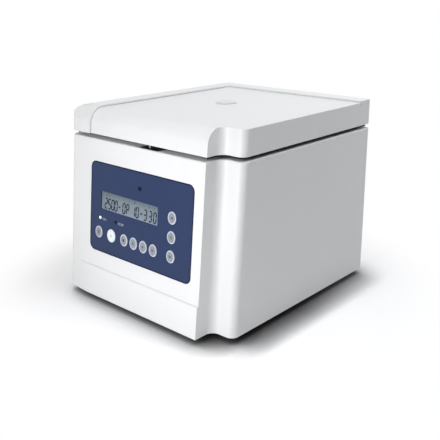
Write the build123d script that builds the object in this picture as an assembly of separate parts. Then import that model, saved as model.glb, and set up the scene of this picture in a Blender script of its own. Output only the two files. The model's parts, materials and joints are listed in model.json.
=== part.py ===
from build123d import *
import os
from math import cos, hypot, radians, sin, tan

# Clinical centrifuge for the bench: a moulded casing with a leaning front, a hinged lid, and a
# spinning head of angled tube wells in a steel bowl.
# Millimetres, +Z up, the front faces -Y, the origin is on the bench under the casing's middle.

# Casing
casing_width = 280.0
casing_depth = 326.0
casing_height = 212.0
casing_wall = 3.0
foot_height = 9.0
front_lean = 4.9
corner_radius = 10.0
back_corner_radius = 6.0
edge_radius = 2.0
step_width = 32.7
step_depth = 27.0
step_hollow_radius = 11.5
step_round_radius = 10.0
plinth_height = 40.5
plinth_proud = 2.6
plinth_fade = 40.0
plinth_edge_radius = 1.6

# Lid
lid_gap = 5.0
lid_height = 32.4
lid_wall = 3.0
hood_radius = 20.0
band_width = 40.3
strip_width = 28.0
band_step = 2.4
band_proud = 1.2
lid_edge_radius = 1.5
band_round = 16.0
strip_notch_reach = 3.5
strip_notch_drop = 4.5
strip_notch_width = 2.0
liner_thickness = 3.0
liner_setback = 2.0
liner_clearance = 0.4
liner_boss_radius = 4.0
liner_screw_radius = 1.5
liner_screw_length = 12.0
liner_screw_inset = 10.0
liner_front_setback = 71.0
liner_back_setback = 29.0
screw_head_height = 1.6
screw_head_rim = 1.5
sight_radius = 14.2
sight_height = 1.5
sight_tube_radius = 11.8
sight_tube_wall = 2.0

# Hinges
hinge_offset = 80.0
hinge_setback = 10.0
hinge_rise = 16.0
hinge_ear_radius = 6.0
hinge_pin_radius = 3.0
hinge_plate = 5.0
hinge_cheek = 3.0
hinge_side_gap = 0.3
hinge_foot_width = 30.0
hinge_foot_depth = 19.0
hinge_leaf_width = 28.0
hinge_leaf_reach = 40.0

# Chamber
chamber_offset = 14.5
bowl_radius = 100.0
bowl_floor_radius = 96.0
bowl_corner_radius = 12.0
bowl_depth = 121.0
bowl_wall = 1.0
bowl_flange = 8.0
bowl_hole_radius = 18.0
gasket_width = 7.0
gasket_height = 4.6
seal_clearance = 0.3

# Spinning head
well_count = 6
well_angle = 30.0
well_mouth_radius = 34.0
well_mouth_height = 188.0
well_depth = 88.0
well_bore_radius = 8.6
sleeve_wall = 1.0
sleeve_rim = 2.0
sleeve_rim_radius = 12.0
sleeve_clearance = 0.2
head_wrap = 16.0
head_length = 60.0
head_floor = 128.0
hub_radius = 16.0
nut_radius = 15.0
nut_height = 14.0
nut_grips = 8

# Drive
shaft_radius = 6.0
shoulder_radius = 9.0
shaft_clearance = 0.05
motor_radius = 46.0
motor_height = 58.0
motor_plate_width = 150.0
motor_plate_depth = 112.0
motor_plate_thickness = 4.0
motor_top = 84.0
post_radius = 8.0
mount_radius = 11.0
mount_height = 26.0
mount_reach_x = 62.0
mount_reach_y = 42.0
mount_waist = 3.0
boot_clearance = 1.5
boot_wall = 2.5

# Latch and lock
latch_x = 8.5
latch_setback = 12.0
notch_front = 33.0
notch_back = 42.0
notch_length = 21.0
hook_thickness = 3.0
hook_width = 12.0
hook_drop = 24.0
hook_flange_width = 24.0
hook_flange_thickness = 2.0
bolt_drop = 11.0
bolt_radius = 2.5
bolt_clearance = 0.05
lock_depth = 21.0
lock_width = 48.0
lock_length = 24.0
lock_floor = 2.0
lock_clearance = 1.2
solenoid_radius = 7.5
solenoid_length = 24.0
solenoid_plate = 2.0

# Controls, set out on the leaning front: x across, height above or below the panel's middle
fascia_x = -1.5
fascia_middle = 131.8
fascia_width = 188.0
fascia_length = 121.3
fascia_radius = 9.0
fascia_thickness = 2.0
fascia_ledge = 5.0
fascia_frame = 4.0
display_x = -20.8
display_rise = 10.3
display_width = 107.5
display_length = 24.2
display_border = 4.0
display_depth = 6.0
window_thickness = 1.0
key_row_drop = 33.6
key_row_start = -76.9
key_wide_pitch = 25.0
key_narrow_pitch = 18.0
key_column_x = 57.9
key_column_pitch = 24.0
key_width = 13.6
key_length = 15.8
start_key_width = 15.6
start_key_length = 17.4
key_proud = 0.8
key_travel = 0.8
key_clearance = 0.25
key_flange = 1.1
key_flange_thickness = 1.0
key_stem_radius = 2.0
lamp_radius = 1.8
lamp_drop = 13.6
run_lamp_x = -74.7
stop_lamp_x = -44.2
sensor_x = -0.4
sensor_rise = 38.9
sensor_radius = 1.6
board_depth = 12.0
board_thickness = 1.6
board_inset = 1.5
board_rise = 8.0
switch_height = 3.5
switch_width = 6.0
standoff_radius = 3.0
standoff_inset = 4.5
stud_radius = 1.4
stud_head_radius = 2.6

# Base plate, feet and power
plate_thickness = 1.5
plate_clearance = 0.4
plate_flange = 12.0
foot_radius = 12.0
foot_side_inset = 42.0
front_foot_setback = 51.0
back_foot_setback = 33.0
foot_taper = 2.0
foot_screw_radius = 2.5
foot_head_radius = 4.5
foot_head_height = 2.0
foot_screw_sink = 1.5
foot_nut_radius = 4.6
foot_nut_height = 4.0
casing_boss_radius = 5.0
casing_boss_height = 30.0
casing_screw_radius = 2.0
casing_screw_length = 18.0
casing_pilot_depth = 22.0
boss_web = 3.0
boss_side_inset = 15.0
boss_front_setback = 77.0
boss_back_setback = 45.0
vent_slot_width = 4.0
vent_slot_length = 46.0
vent_x = 62.0
vent_pitch = 9.0
vent_count = 9
recess_width = 118.0
recess_height = 44.0
recess_depth = 6.0
recess_side_inset = 74.0
recess_middle = 46.0
grille_x = -66.0
grille_width = 92.0
grille_height = 50.0
grille_slats = 8
grille_border = 5.0
inlet_shift = 34.0
inlet_width = 28.0
inlet_height = 20.4
inlet_depth = 20.0
fuse_radius = 6.5
fuse_depth = 24.0
rocker_shift = 35.0
rocker_width = 13.0
rocker_height = 19.6
rocker_tilt = 9.0
power_board_width = 56.0
power_board_depth = 150.0
power_board_lift = 8.0
power_board_gap = 6.0
power_post_radius = 3.0
power_post_inset = 5.0
transformer_width = 40.0
transformer_depth = 42.0
transformer_height = 34.0
transformer_inset = 6.0
transformer_setback = 14.0
capacitor_count = 3
capacitor_radius = 8.0
capacitor_height = 26.0
capacitor_pitch = 20.0
capacitor_inset = 18.0
capacitor_setback = 72.0
sink_width = 18.0
sink_length = 70.0
sink_height = 26.0
sink_inset = 32.0
sink_setback = 66.0
sink_base = 4.0
fin_count = 6
fin_thickness = 3.0

# Values worked out from the sizes above
lean_angle = radians(front_lean)
lean = tan(lean_angle)
half_width = casing_width / 2
back = casing_depth / 2
casing_low = foot_height
deck_top = casing_low + casing_height
deck_under = deck_top - casing_wall
front_foot = -back + plinth_proud
lid_low = deck_top + lid_gap
panel_top = lid_low + lid_height
band_top = panel_top + band_step
axis_y = chamber_offset
axis_spot = (0, axis_y)
hinge_y = back - hinge_setback
hinge_z = deck_top + hinge_rise
liner_low = lid_low + liner_setback
liner_top = liner_low + liner_thickness
bowl_floor = deck_top - bowl_depth
flange_radius = bowl_radius + bowl_flange
board_front = -board_depth
foot_x = half_width - foot_side_inset
lock_low = deck_top - lock_depth - casing_wall
bolt_z = deck_top - bolt_drop
hook_low = liner_low - hook_drop - hook_flange_thickness
recess_floor = back - recess_depth
recess_x = half_width - recess_side_inset
inlet_x = recess_x + inlet_shift
fuse_x = recess_x
rocker_x = recess_x - rocker_shift
display_middle = fascia_middle + display_rise
lamp_height = fascia_middle - lamp_drop
key_row_height = fascia_middle - key_row_drop
sensor_height = fascia_middle + sensor_rise
well_sin = sin(radians(well_angle))
well_cos = cos(radians(well_angle))


def front_at(height):
    # y of the casing's front face at a height above the bench
    return front_foot + (height - casing_low) * lean


def front_plane(x, height):
    # a plane on the front face: local x across, local y up the slope, local z outwards
    return Plane(
        origin=(x, front_at(height), height),
        x_dir=(1, 0, 0),
        z_dir=(0, -cos(lean_angle), sin(lean_angle)),
    )


def round_corner(face, x, y, radius):
    corner = face.vertices().sort_by_distance(Vector(x, y, 0))[0]
    return fillet(corner, radius)


def plan_face(front, rear, inset=0.0):
    # the plan of casing and lid: a rounded left corner and a stepped right one
    half = half_width - inset
    step_x = half - step_width
    step_y = front + step_depth
    outline = Polyline(
        (-half, front), (step_x, front), (step_x, step_y),
        (half, step_y), (half, rear), (-half, rear), close=True,
    )
    face = make_face(outline)
    face = round_corner(face, -half, front, corner_radius - inset)
    face = round_corner(face, step_x, step_y, step_hollow_radius + inset)
    return round_corner(face, half, step_y, step_round_radius - inset)


def leaning_prism(face, low, high):
    # raises a plan face along the slope of the front
    rise = high - low
    lifted = (Pos(0, 0, low) * face).face()
    return Part() + Solid.extrude(lifted, Vector(0, rise * lean, rise))


def rear_prism(low, high, inset=0.0):
    # upright block that trims the leaning one: flat back with two rounded corners
    half = half_width - inset
    rear = back - inset
    front = -casing_depth
    face = make_face(Polyline((-half, front), (half, front), (half, rear), (-half, rear), close=True))
    face = round_corner(face, half, rear, back_corner_radius - inset)
    face = round_corner(face, -half, rear, back_corner_radius - inset)
    return extrude(Pos(0, 0, low) * face, amount=high - low)


def casing_block(low, high, inset=0.0, shift=0.0):
    plan = plan_face(front_at(low) + inset + shift, casing_depth, inset)
    return leaning_prism(plan, low, high) & rear_prism(low, high, inset)


def upright_cylinder(x, y, radius, low, high):
    return Pos(x, y, (low + high) / 2) * Cylinder(radius, high - low)


def block(x_low, x_high, y_low, y_high, z_low, z_high):
    middle = Pos((x_low + x_high) / 2, (y_low + y_high) / 2, (z_low + z_high) / 2)
    return middle * Box(x_high - x_low, y_high - y_low, z_high - z_low)


def turned(points, x=0.0, y=0.0):
    # spins a list of (radius, height) points about an upright axis
    profile = make_face(Polyline(*[(radius, 0, height) for radius, height in points], close=True))
    return Pos(x, y, 0) * revolve(profile, Axis.Z)


def front_slab(plane, shape, near, far):
    # a flat shape on the front face, from depth near to depth far along its outward normal
    return extrude(plane * (Pos(0, 0, near) * shape), amount=far - near)


# Casing

def make_plinth():
    front = front_at(casing_low)
    face = make_face(Polyline(
        (-half_width + corner_radius, front),
        (-half_width + plinth_fade, front - plinth_proud),
        (half_width - step_width, front - plinth_proud),
        (half_width - step_width, front + casing_wall / 2),
        (-half_width + corner_radius, front + casing_wall / 2),
        close=True,
    ))
    face = round_corner(face, -half_width + plinth_fade, front - plinth_proud, 3 * plinth_fade)
    plinth = leaning_prism(face, casing_low, casing_low + plinth_height)
    rim = plinth.edges().filter_by(Axis.X).sort_by(Axis.Z)[-2:]
    return fillet(rim.sort_by(Axis.Y)[0], plinth_edge_radius)


boss_x = half_width - boss_side_inset
boss_rows = (-back + boss_front_setback, back - boss_back_setback)
corner_bosses = [(x, y) for x in (-boss_x, boss_x) for y in boss_rows]


def make_housing():
    outer = casing_block(casing_low, deck_top)
    outer = fillet(outer.faces().sort_by(Axis.Z)[-1].outer_wire().edges(), edge_radius)
    outer += make_plinth()
    hollow = casing_block(casing_low - 1, deck_under, casing_wall)
    shell = outer - hollow

    # bosses for the base plate's screws, tied to the side walls
    for x, y in corner_bosses:
        side = 1 if x > 0 else -1
        inner_wall = half_width - casing_wall / 2
        low = casing_low + plate_thickness
        high = low + casing_boss_height
        boss = upright_cylinder(x, y, casing_boss_radius, low, high)
        web = block(*sorted((x, side * inner_wall)), y - boss_web / 2, y + boss_web / 2, low, high)
        pilot = upright_cylinder(x, y, casing_screw_radius, low - 1, low + casing_pilot_depth)
        shell = shell + boss + web - pilot

    # seat and opening for the control fascia, with a stiffening frame behind
    plane = front_plane(fascia_x, fascia_middle)
    seat = RectangleRounded(fascia_width, fascia_length, fascia_radius)
    opening = RectangleRounded(
        fascia_width - 2 * fascia_ledge, fascia_length - 2 * fascia_ledge, fascia_radius - fascia_ledge / 2,
    )
    frame = RectangleRounded(fascia_width + 8, fascia_length + 8, fascia_radius)
    shell += front_slab(plane, frame, -casing_wall - fascia_frame / 2, -casing_wall / 2)
    shell -= front_slab(plane, seat, -fascia_thickness, 2)
    shell -= front_slab(plane, opening, -3 * casing_wall, 0)

    # chamber opening with a sunk seat for the bowl's flange
    shell -= upright_cylinder(*axis_spot, bowl_radius + bowl_wall + 0.5, deck_under - 1, deck_top + 1)
    shell -= upright_cylinder(*axis_spot, flange_radius + 0.3, deck_top - bowl_wall, deck_top + 1)

    # latch notch in the deck's front rim
    shell -= extrude(Pos(0, 0, deck_under - 1) * latch_mouth(0), amount=casing_wall + 2)

    # slots that let the hinge brackets through
    for side in (-1, 1):
        x = side * hinge_offset
        half = hinge_plate / 2 + hinge_side_gap
        shell -= block(x - half, x + half, hinge_y - 5.4, hinge_y + 5.4, deck_under - 1, deck_top + 1)

    # sunk power recess and grille opening in the back wall
    x_low, x_high = recess_x - recess_width / 2, recess_x + recess_width / 2
    z_low, z_high = recess_middle - recess_height / 2, recess_middle + recess_height / 2
    floor = back - recess_depth
    shell += block(x_low - 3, x_high + 3, floor - casing_wall, back - 1, z_low - 3, z_high + 3)
    shell -= block(x_low, x_high, floor, back + 1, z_low, z_high)
    for x, width, height in power_cutouts:
        shell -= block(
            x - width / 2, x + width / 2, floor - casing_wall - 1, floor + 1,
            recess_middle - height / 2, recess_middle + height / 2,
        )
    shell -= block(
        grille_x - grille_width / 2, grille_x + grille_width / 2, back - casing_wall - 1, back + 1,
        recess_middle - grille_height / 2, recess_middle + grille_height / 2,
    )
    return shell


def latch_mouth(inset):
    # the trapezium of the latch notch, seen from above
    near = front_at(deck_top) + edge_radius + inset
    far = near + notch_length - 2 * inset
    return make_face(Polyline(
        (latch_x - notch_front / 2 + inset, near), (latch_x + notch_front / 2 - inset, near),
        (latch_x + notch_back / 2 - inset, far), (latch_x - notch_back / 2 + inset, far), close=True,
    ))


# Power inlet, fuse drawer and rocker switch stand in the recess: x, width and height of each cut-out
power_cutouts = [
    (inlet_x, inlet_width + 0.4, inlet_height + 0.4),
    (fuse_x, 2 * fuse_radius + 0.4, 2 * fuse_radius + 0.4),
    (rocker_x, rocker_width + 2.4, rocker_height + 2.4),
]


def make_base_plate():
    low = casing_low
    inset = casing_wall + plate_clearance
    plate = casing_block(low, low + plate_thickness, inset)
    # folded lips along both sides stiffen the sheet
    for side in (-1, 1):
        wall = side * (half_width - inset)
        lip = block(*sorted((wall, wall - side * plate_thickness)), -60, 100, low, low + plate_flange)
        plate += lip
    for x in (-1, 1):
        for row in range(vent_count):
            y = axis_y + (row - (vent_count - 1) / 2) * vent_pitch
            slot = SlotOverall(vent_slot_length, vent_slot_width)
            plate -= extrude(Pos(x * vent_x, y, low - 1) * slot, amount=plate_thickness + 2)
    for x, y in foot_spots:
        plate -= upright_cylinder(x, y, foot_screw_radius, low - 1, low + 3)
    for x, y in corner_bosses:
        plate -= upright_cylinder(x, y, casing_screw_radius + 0.2, low - 1, low + 3)
    return plate


foot_rows = (-back + front_foot_setback, back - back_foot_setback)
foot_spots = [(x, y) for y in foot_rows for x in (-foot_x, foot_x)]
foot_names = ["foot_front_left", "foot_front_right", "foot_back_left", "foot_back_right"]


def make_foot(x, y):
    # a tapered rubber foot with a sunk screw hole
    seat = foot_screw_sink + foot_head_height
    sink_radius = foot_head_radius + 1
    return turned([
        (foot_screw_radius, seat), (sink_radius, seat), (sink_radius, 0),
        (foot_radius - foot_taper, 0), (foot_radius - foot_taper + 0.8, 0.8), (foot_radius, foot_height),
        (foot_screw_radius, foot_height),
    ], x, y)


def make_foot_screws():
    screws = []
    seat = foot_screw_sink + foot_head_height
    nut_low = casing_low + plate_thickness
    nut_high = nut_low + foot_nut_height
    for x, y in foot_spots:
        head = upright_cylinder(x, y, foot_head_radius, foot_screw_sink, seat)
        stem = upright_cylinder(x, y, foot_screw_radius - 0.05, seat, nut_high)
        nut = Pos(x, y, nut_low) * extrude(RegularPolygon(foot_nut_radius, 6), amount=foot_nut_height)
        screws.append(head + stem + nut)
    return screws


def make_casing_screws():
    screws = []
    for x, y in corner_bosses:
        head = upright_cylinder(
            x, y, casing_screw_radius + screw_head_rim, casing_low - screw_head_height, casing_low,
        )
        tip = casing_low + casing_screw_length
        stem = upright_cylinder(x, y, casing_screw_radius - 0.1, casing_low, tip)
        screws.append(head + stem)
    return screws


# Chamber

def make_bowl():
    # spun from sheet: flange, tapering wall, rounded corner, flat floor with a hole for the shaft
    top, floor = deck_top, bowl_floor
    outer_top, outer_floor = bowl_radius + bowl_wall, bowl_floor_radius + bowl_wall
    outside = turned([
        (0, floor - bowl_wall), (outer_floor, floor - bowl_wall), (outer_top, top - bowl_wall),
        (flange_radius, top - bowl_wall), (flange_radius, top), (0, top),
    ], *axis_spot)
    inside = turned([
        (0, floor), (bowl_floor_radius, floor), (bowl_radius, top), (bowl_radius, top + 1), (0, top + 1),
    ], *axis_spot)
    outer_rim = outside.edges().filter_by(GeomType.CIRCLE).sort_by(Axis.Z)[0]
    outside = fillet(outer_rim, bowl_corner_radius + bowl_wall)
    inner_rim = inside.edges().filter_by(GeomType.CIRCLE).sort_by(Axis.Z)[0]
    inside = fillet(inner_rim, bowl_corner_radius)
    hole = upright_cylinder(*axis_spot, bowl_hole_radius, floor - 2, floor + 1)
    return outside - inside - hole


def make_gasket():
    # a soft ring with a rounded crown that covers the bowl's flange
    low, high = deck_top, deck_top + gasket_height
    inner = bowl_radius + 0.3
    ring = turned([
        (inner, low), (inner + gasket_width, low), (inner + gasket_width, high), (inner, high),
    ], *axis_spot)
    crown = ring.edges().filter_by(GeomType.CIRCLE).group_by(Axis.Z)[-1]
    return fillet(crown, gasket_width * 0.35)


def make_boot():
    # rubber sleeve from the motor plate up through the bowl's floor
    inner = shoulder_radius + boot_clearance
    low = motor_top + motor_plate_thickness
    floor = bowl_floor
    return turned([
        (inner, low), (inner + boot_wall + 4, low), (inner + boot_wall, low + 3),
        (inner + boot_wall, floor - bowl_wall - 2), (bowl_hole_radius + 4, floor - bowl_wall - 2),
        (bowl_hole_radius + 4, floor - bowl_wall), (bowl_hole_radius - 0.3, floor - bowl_wall),
        (bowl_hole_radius - 0.3, floor + 1), (inner + 1, floor + 5), (inner, floor + 5),
    ], *axis_spot)


# Drive

mount_rows = (axis_y - mount_reach_y, axis_y + mount_reach_y)
mount_spots = [(x, y) for x in (-mount_reach_x, mount_reach_x) for y in mount_rows]


def make_motor_plate():
    plate = Pos(0, axis_y, motor_top + motor_plate_thickness / 2) * Box(
        motor_plate_width, motor_plate_depth, motor_plate_thickness
    )
    plate = fillet(plate.edges().filter_by(Axis.Z), 10)
    inner = shoulder_radius + boot_clearance
    plate -= upright_cylinder(*axis_spot, inner, motor_top - 1, motor_top + motor_plate_thickness + 1)
    for x, y in mount_spots:
        plate -= upright_cylinder(x, y, 3.2, motor_top - 1, motor_top + motor_plate_thickness + 1)
    return plate


def make_mount(x, y):
    # waisted rubber block on top of a steel post
    low, high = motor_top - mount_height, motor_top
    middle = (low + high) / 2
    return turned([
        (0, low), (mount_radius, low), (mount_radius, low + 4), (mount_radius - mount_waist, middle),
        (mount_radius, high - 4), (mount_radius, high), (0, high),
    ], x, y)


def make_posts():
    low, high = casing_low + plate_thickness, motor_top - mount_height
    return [upright_cylinder(x, y, post_radius, low, high) for x, y in mount_spots]


def make_motor():
    # can with a domed foot, cooling ribs and a bearing nose
    high = motor_top
    low = high - motor_height
    can = upright_cylinder(*axis_spot, motor_radius, low, high)
    can = chamfer(can.edges().group_by(Axis.Z)[0], 4)
    groove_width = 3.0
    for level in range(4):
        z = low + 16 + level * 8
        ring = turned([
            (motor_radius - 2.5, z), (motor_radius + 1, z),
            (motor_radius + 1, z + groove_width), (motor_radius - 2.5, z + groove_width),
        ], *axis_spot)
        can -= ring
    can -= upright_cylinder(*axis_spot, shaft_radius + shaft_clearance, low + 14, high + 1)
    can -= upright_cylinder(*axis_spot, shoulder_radius + shaft_clearance, high - 6, high + 1)
    return can


def make_shaft():
    seat = head_floor
    low = motor_top - motor_height + 14.5
    top = well_hub_top() + nut_height - 2
    return turned([
        (0, low), (shaft_radius, low), (shaft_radius, motor_top - 5.5), (shoulder_radius, motor_top - 5.5),
        (shoulder_radius, seat), (shaft_radius, seat), (shaft_radius, top - 2), (shaft_radius - 2, top),
        (0, top),
    ], *axis_spot)


# Spinning head: every well leans out at its foot

def well_hub_top():
    # height of the dished top where it meets the hub
    return well_mouth_height - (well_mouth_radius - hub_radius) * tan(radians(well_angle))


def well_plane(number):
    # a plane on the mouth of a well: local z points out of the mouth
    turn = Pos(0, axis_y, 0) * Rot(0, 0, 360 * number / well_count)
    tilt = Pos(well_mouth_radius, 0, well_mouth_height) * Rot(0, -well_angle, 0)
    return turn * tilt


def hexagon(apothem, height):
    # a six-sided section of the head, one side facing each well
    section = RegularPolygon(apothem, well_count, major_radius=False, rotation=180 / well_count)
    return Pos(0, 0, height) * section


def make_head():
    # faceted cone: a top facet square to each well and a flank facet along it
    rim_r = well_mouth_radius + head_wrap * well_cos
    rim_z = well_mouth_height + head_wrap * well_sin
    flank_r = rim_r + head_length * well_sin
    flank_z = rim_z - head_length * well_cos
    foot_r = flank_r - (flank_z - head_floor) / tan(radians(well_angle))
    hub_z = well_hub_top()
    head = loft([hexagon(foot_r, head_floor), hexagon(flank_r, flank_z)], ruled=True)
    head += loft([hexagon(flank_r, flank_z), hexagon(rim_r, rim_z)], ruled=True)
    head -= loft([hexagon(hub_radius, hub_z), hexagon(rim_r, rim_z)], ruled=True)
    head = Pos(0, axis_y, 0) * head
    head -= upright_cylinder(*axis_spot, shaft_radius + shaft_clearance, head_floor - 1, rim_z)
    hole_radius = well_bore_radius + sleeve_wall + sleeve_clearance
    for number in range(well_count):
        head -= well_plane(number) * Cylinder(hole_radius, 4 * well_depth)
    return head


def make_sleeve(number):
    # a thin tube with a rounded foot and a rim that rests on the head
    outer = well_bore_radius + sleeve_wall
    length = well_depth + sleeve_wall
    outside = turned([
        (0, -length), (outer - 4, -length), (outer, 4 - length), (outer, 0), (sleeve_rim_radius, 0),
        (sleeve_rim_radius, sleeve_rim), (0, sleeve_rim),
    ])
    bore = turned([
        (0, -well_depth), (well_bore_radius - 4, -well_depth), (well_bore_radius, 4 - well_depth),
        (well_bore_radius, sleeve_rim + 1), (0, sleeve_rim + 1),
    ])
    return well_plane(number) * (outside - bore)


def make_nut():
    # hand nut with scallops round its skirt
    low = well_hub_top()
    nut = upright_cylinder(*axis_spot, nut_radius, low, low + nut_height)
    nut = fillet(nut.edges().group_by(Axis.Z)[-1], 2.5)
    for grip in range(nut_grips):
        turn = Pos(*axis_spot, 0) * Rot(0, 0, 360 * (grip + 0.5) / nut_grips)
        nut -= turn * upright_cylinder(nut_radius + 2, 0, 4, low + 3, low + nut_height + 1)
    nut -= upright_cylinder(*axis_spot, shaft_radius + shaft_clearance, low - 1, low + nut_height - 1.5)
    return nut


# Lid

def side_profile(top, front_shift, radius):
    # the lid's outline seen from the right: leaning front, rounded hood, flat top
    low = lid_low - 1
    front_low = front_at(low) + front_shift
    front_top = front_at(top) + front_shift
    outline = Polyline(
        (0, front_low, low), (0, front_top, top), (0, back + 40, top), (0, back + 40, low), close=True,
    )
    face = make_face(outline)
    hood = face.vertices().sort_by_distance(Vector(0, front_top, top))[0]
    return fillet(hood, radius)


def across(profile, x_low, x_high):
    # carries a side profile along x
    return extrude(Pos(x_low, 0, 0) * profile, amount=x_high - x_low, dir=(1, 0, 0))


def left_round(inset):
    # a long block whose left top edge rounds over from the lid's side into its band
    edge, top, start = -half_width + inset, band_top - inset, -casing_depth
    face = make_face(Polyline(
        (edge, start, 0), (edge, start, top), (casing_width, start, top), (casing_width, start, 0),
        close=True,
    ))
    corner = face.vertices().sort_by_distance(Vector(edge, start, top))[0]
    return extrude(fillet(corner, band_round - inset), amount=2 * casing_depth, dir=(0, 1, 0))


def lid_block(low, inset=0.0):
    # the lid's solid form: a sunk panel and hood, a raised left band and a raised back strip
    plan = casing_block(low, band_top + 10, inset, -band_proud)
    width = half_width + 10
    panel = across(side_profile(panel_top - inset, band_proud + inset, hood_radius - inset), -width, width)
    band = across(
        side_profile(band_top - inset, inset - band_proud, hood_radius + band_step - inset),
        -width, -half_width + band_width + inset,
    )
    strip = block(-width, width, back - strip_width - inset, back + 10, low, band_top - inset)
    return plan & (panel + band + strip) & left_round(inset)


def make_lid_shell():
    shell = lid_block(lid_low)
    rim = shell.faces().sort_by(Axis.Z)[0].outer_wire().edges()
    shell = fillet(rim, lid_edge_radius)
    shell -= lid_block(lid_low - 5, lid_wall)

    # in front of the back strip the panel's right edge falls away in a small notch
    near = back - strip_width - strip_notch_width
    inner, outer = half_width - strip_notch_reach, half_width + 1
    foot = panel_top - strip_notch_drop
    notch = make_face(Polyline(
        (inner, near, panel_top), (half_width, near, foot), (outer, near, foot),
        (outer, near, panel_top + 1), (inner, near, panel_top + 1), close=True,
    ))
    shell -= extrude(notch, amount=strip_notch_width, dir=(0, 1, 0))

    # room for the hinge brackets in the back skirt
    for side in (-1, 1):
        x = side * hinge_offset
        half = hinge_plate / 2 + 1.5
        shell -= block(x - half, x + half, back - lid_wall - 1, back + 1, lid_low - 1, hinge_z + 8)

    # screw bosses for the liner, which end inside the lid's wall, and the sight hole
    within = lid_block(lid_low, lid_wall / 2)
    for x, y in liner_spots:
        shell += upright_cylinder(x, y, liner_boss_radius, liner_top, band_top) & within
        pilot_top = liner_top + liner_screw_length
        shell -= upright_cylinder(x, y, liner_screw_radius + 0.05, liner_top - 1, pilot_top)
    shell -= upright_cylinder(*axis_spot, sight_tube_radius + 0.2, panel_top - lid_wall - 1, panel_top + 5)
    return shell


liner_x = half_width - liner_screw_inset
liner_rows = (-back + liner_front_setback, axis_y, back - liner_back_setback)
liner_spots = [(x, y) for x in (-liner_x, liner_x) for y in liner_rows]


def make_liner():
    low, high = liner_low, liner_top
    inset = lid_wall + liner_clearance
    plate = casing_block(low, high, inset, band_proud)
    # sealing ring that comes down on the gasket
    ring_low = deck_top + gasket_height + seal_clearance
    ring = turned([
        (bowl_radius - 6, ring_low), (flange_radius + 4, ring_low), (flange_radius + 4, low + 1),
        (bowl_radius - 6, low + 1),
    ], *axis_spot)
    plate += ring
    plate -= upright_cylinder(*axis_spot, sight_tube_radius + 0.2, low - 1, high + 1)
    for side in (-1, 1):
        x = side * hinge_offset
        half = hinge_plate / 2 + hinge_cheek + 1.5
        plate -= block(x - half, x + half, hinge_y - hinge_ear_radius - 1.5, back, low - 1, high + 1)
    for x, y in liner_spots:
        plate -= upright_cylinder(x, y, liner_screw_radius + 0.2, low - 1, high + 1)
    return plate


def make_liner_screws():
    screws = []
    for x, y in liner_spots:
        head = upright_cylinder(
            x, y, liner_screw_radius + screw_head_rim, liner_low - screw_head_height, liner_low,
        )
        stem = upright_cylinder(x, y, liner_screw_radius, liner_low, liner_low + liner_screw_length)
        screws.append(head + stem)
    return screws


def make_sight():
    # clear disc with a tube that reaches down to the liner
    disc = turned([
        (0, panel_top), (sight_radius, panel_top), (sight_radius, panel_top + sight_height),
        (0, panel_top + sight_height),
    ], *axis_spot)
    disc = fillet(disc.edges().filter_by(GeomType.CIRCLE).sort_by(Axis.Z)[-1], 0.6)
    tube = upright_cylinder(*axis_spot, sight_tube_radius, liner_low, panel_top)
    inner = sight_tube_radius - sight_tube_wall
    tube -= upright_cylinder(*axis_spot, inner, liner_low - 1, panel_top - sight_height)
    return disc + tube


# Hinges

def make_bracket(side):
    # foot under the deck, upright through the deck, ear round the pin
    x = side * hinge_offset
    foot = block(
        x - hinge_foot_width / 2, x + hinge_foot_width / 2,
        hinge_y - hinge_foot_depth + 6, hinge_y + 6, deck_under - 3, deck_under,
    )
    half = hinge_plate / 2
    upright = block(x - half, x + half, hinge_y - 5, hinge_y + 5, deck_under - 3, hinge_z)
    ear = Pos(x, hinge_y, hinge_z) * Rot(0, 90, 0) * Cylinder(5, hinge_plate)
    bore = Pos(x, hinge_y, hinge_z) * Rot(0, 90, 0) * Cylinder(hinge_pin_radius + shaft_clearance, 20)
    return foot + upright + ear - bore


def make_leaf(side):
    # flat leaf on the liner with two cheeks that straddle the bracket
    x = side * hinge_offset
    front = hinge_y - hinge_leaf_reach
    leaf = block(
        x - hinge_leaf_width / 2, x + hinge_leaf_width / 2,
        front, hinge_y - hinge_ear_radius - 2, liner_top, liner_top + 3,
    )
    for cheek in (-1, 1):
        middle = x + cheek * (hinge_plate / 2 + hinge_side_gap + hinge_cheek / 2)
        half = hinge_cheek / 2
        top = hinge_z + hinge_ear_radius
        leaf += block(middle - half, middle + half, front + 8, hinge_y, liner_top, top)
        leaf += Pos(middle, hinge_y, hinge_z) * Rot(0, 90, 0) * Cylinder(hinge_ear_radius, hinge_cheek)
    bore = Pos(x, hinge_y, hinge_z) * Rot(0, 90, 0) * Cylinder(hinge_pin_radius + 0.02, 30)
    return leaf - bore


def make_pin(side):
    length = hinge_plate + 2 * (hinge_side_gap + hinge_cheek) + 1
    return Pos(side * hinge_offset, hinge_y, hinge_z) * Rot(0, 90, 0) * Cylinder(hinge_pin_radius, length)


# Latch and lock

hook_y = front_at(deck_top) + latch_setback


def along_x(x_low, x_high, y, z, radius):
    return Pos((x_low + x_high) / 2, y, z) * Rot(0, 90, 0) * Cylinder(radius, x_high - x_low)


def make_hook():
    # steel strap with an eye for the lock's bolt, hung from a small flange
    half = hook_thickness / 2
    near, far = hook_y - hook_width / 2, hook_y + hook_width / 2
    strap = block(latch_x - half, latch_x + half, near, far, hook_low, liner_low)
    strap = fillet(strap.edges().filter_by(Axis.X).group_by(Axis.Z)[0], hook_width / 2 - 0.5)
    half = hook_flange_width / 2
    flange = block(latch_x - half, latch_x + half, near, far, liner_low - hook_flange_thickness, liner_low)
    eye = along_x(latch_x - 5, latch_x + 5, hook_y, bolt_z, bolt_radius + 0.8)
    return strap + flange - eye


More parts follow.
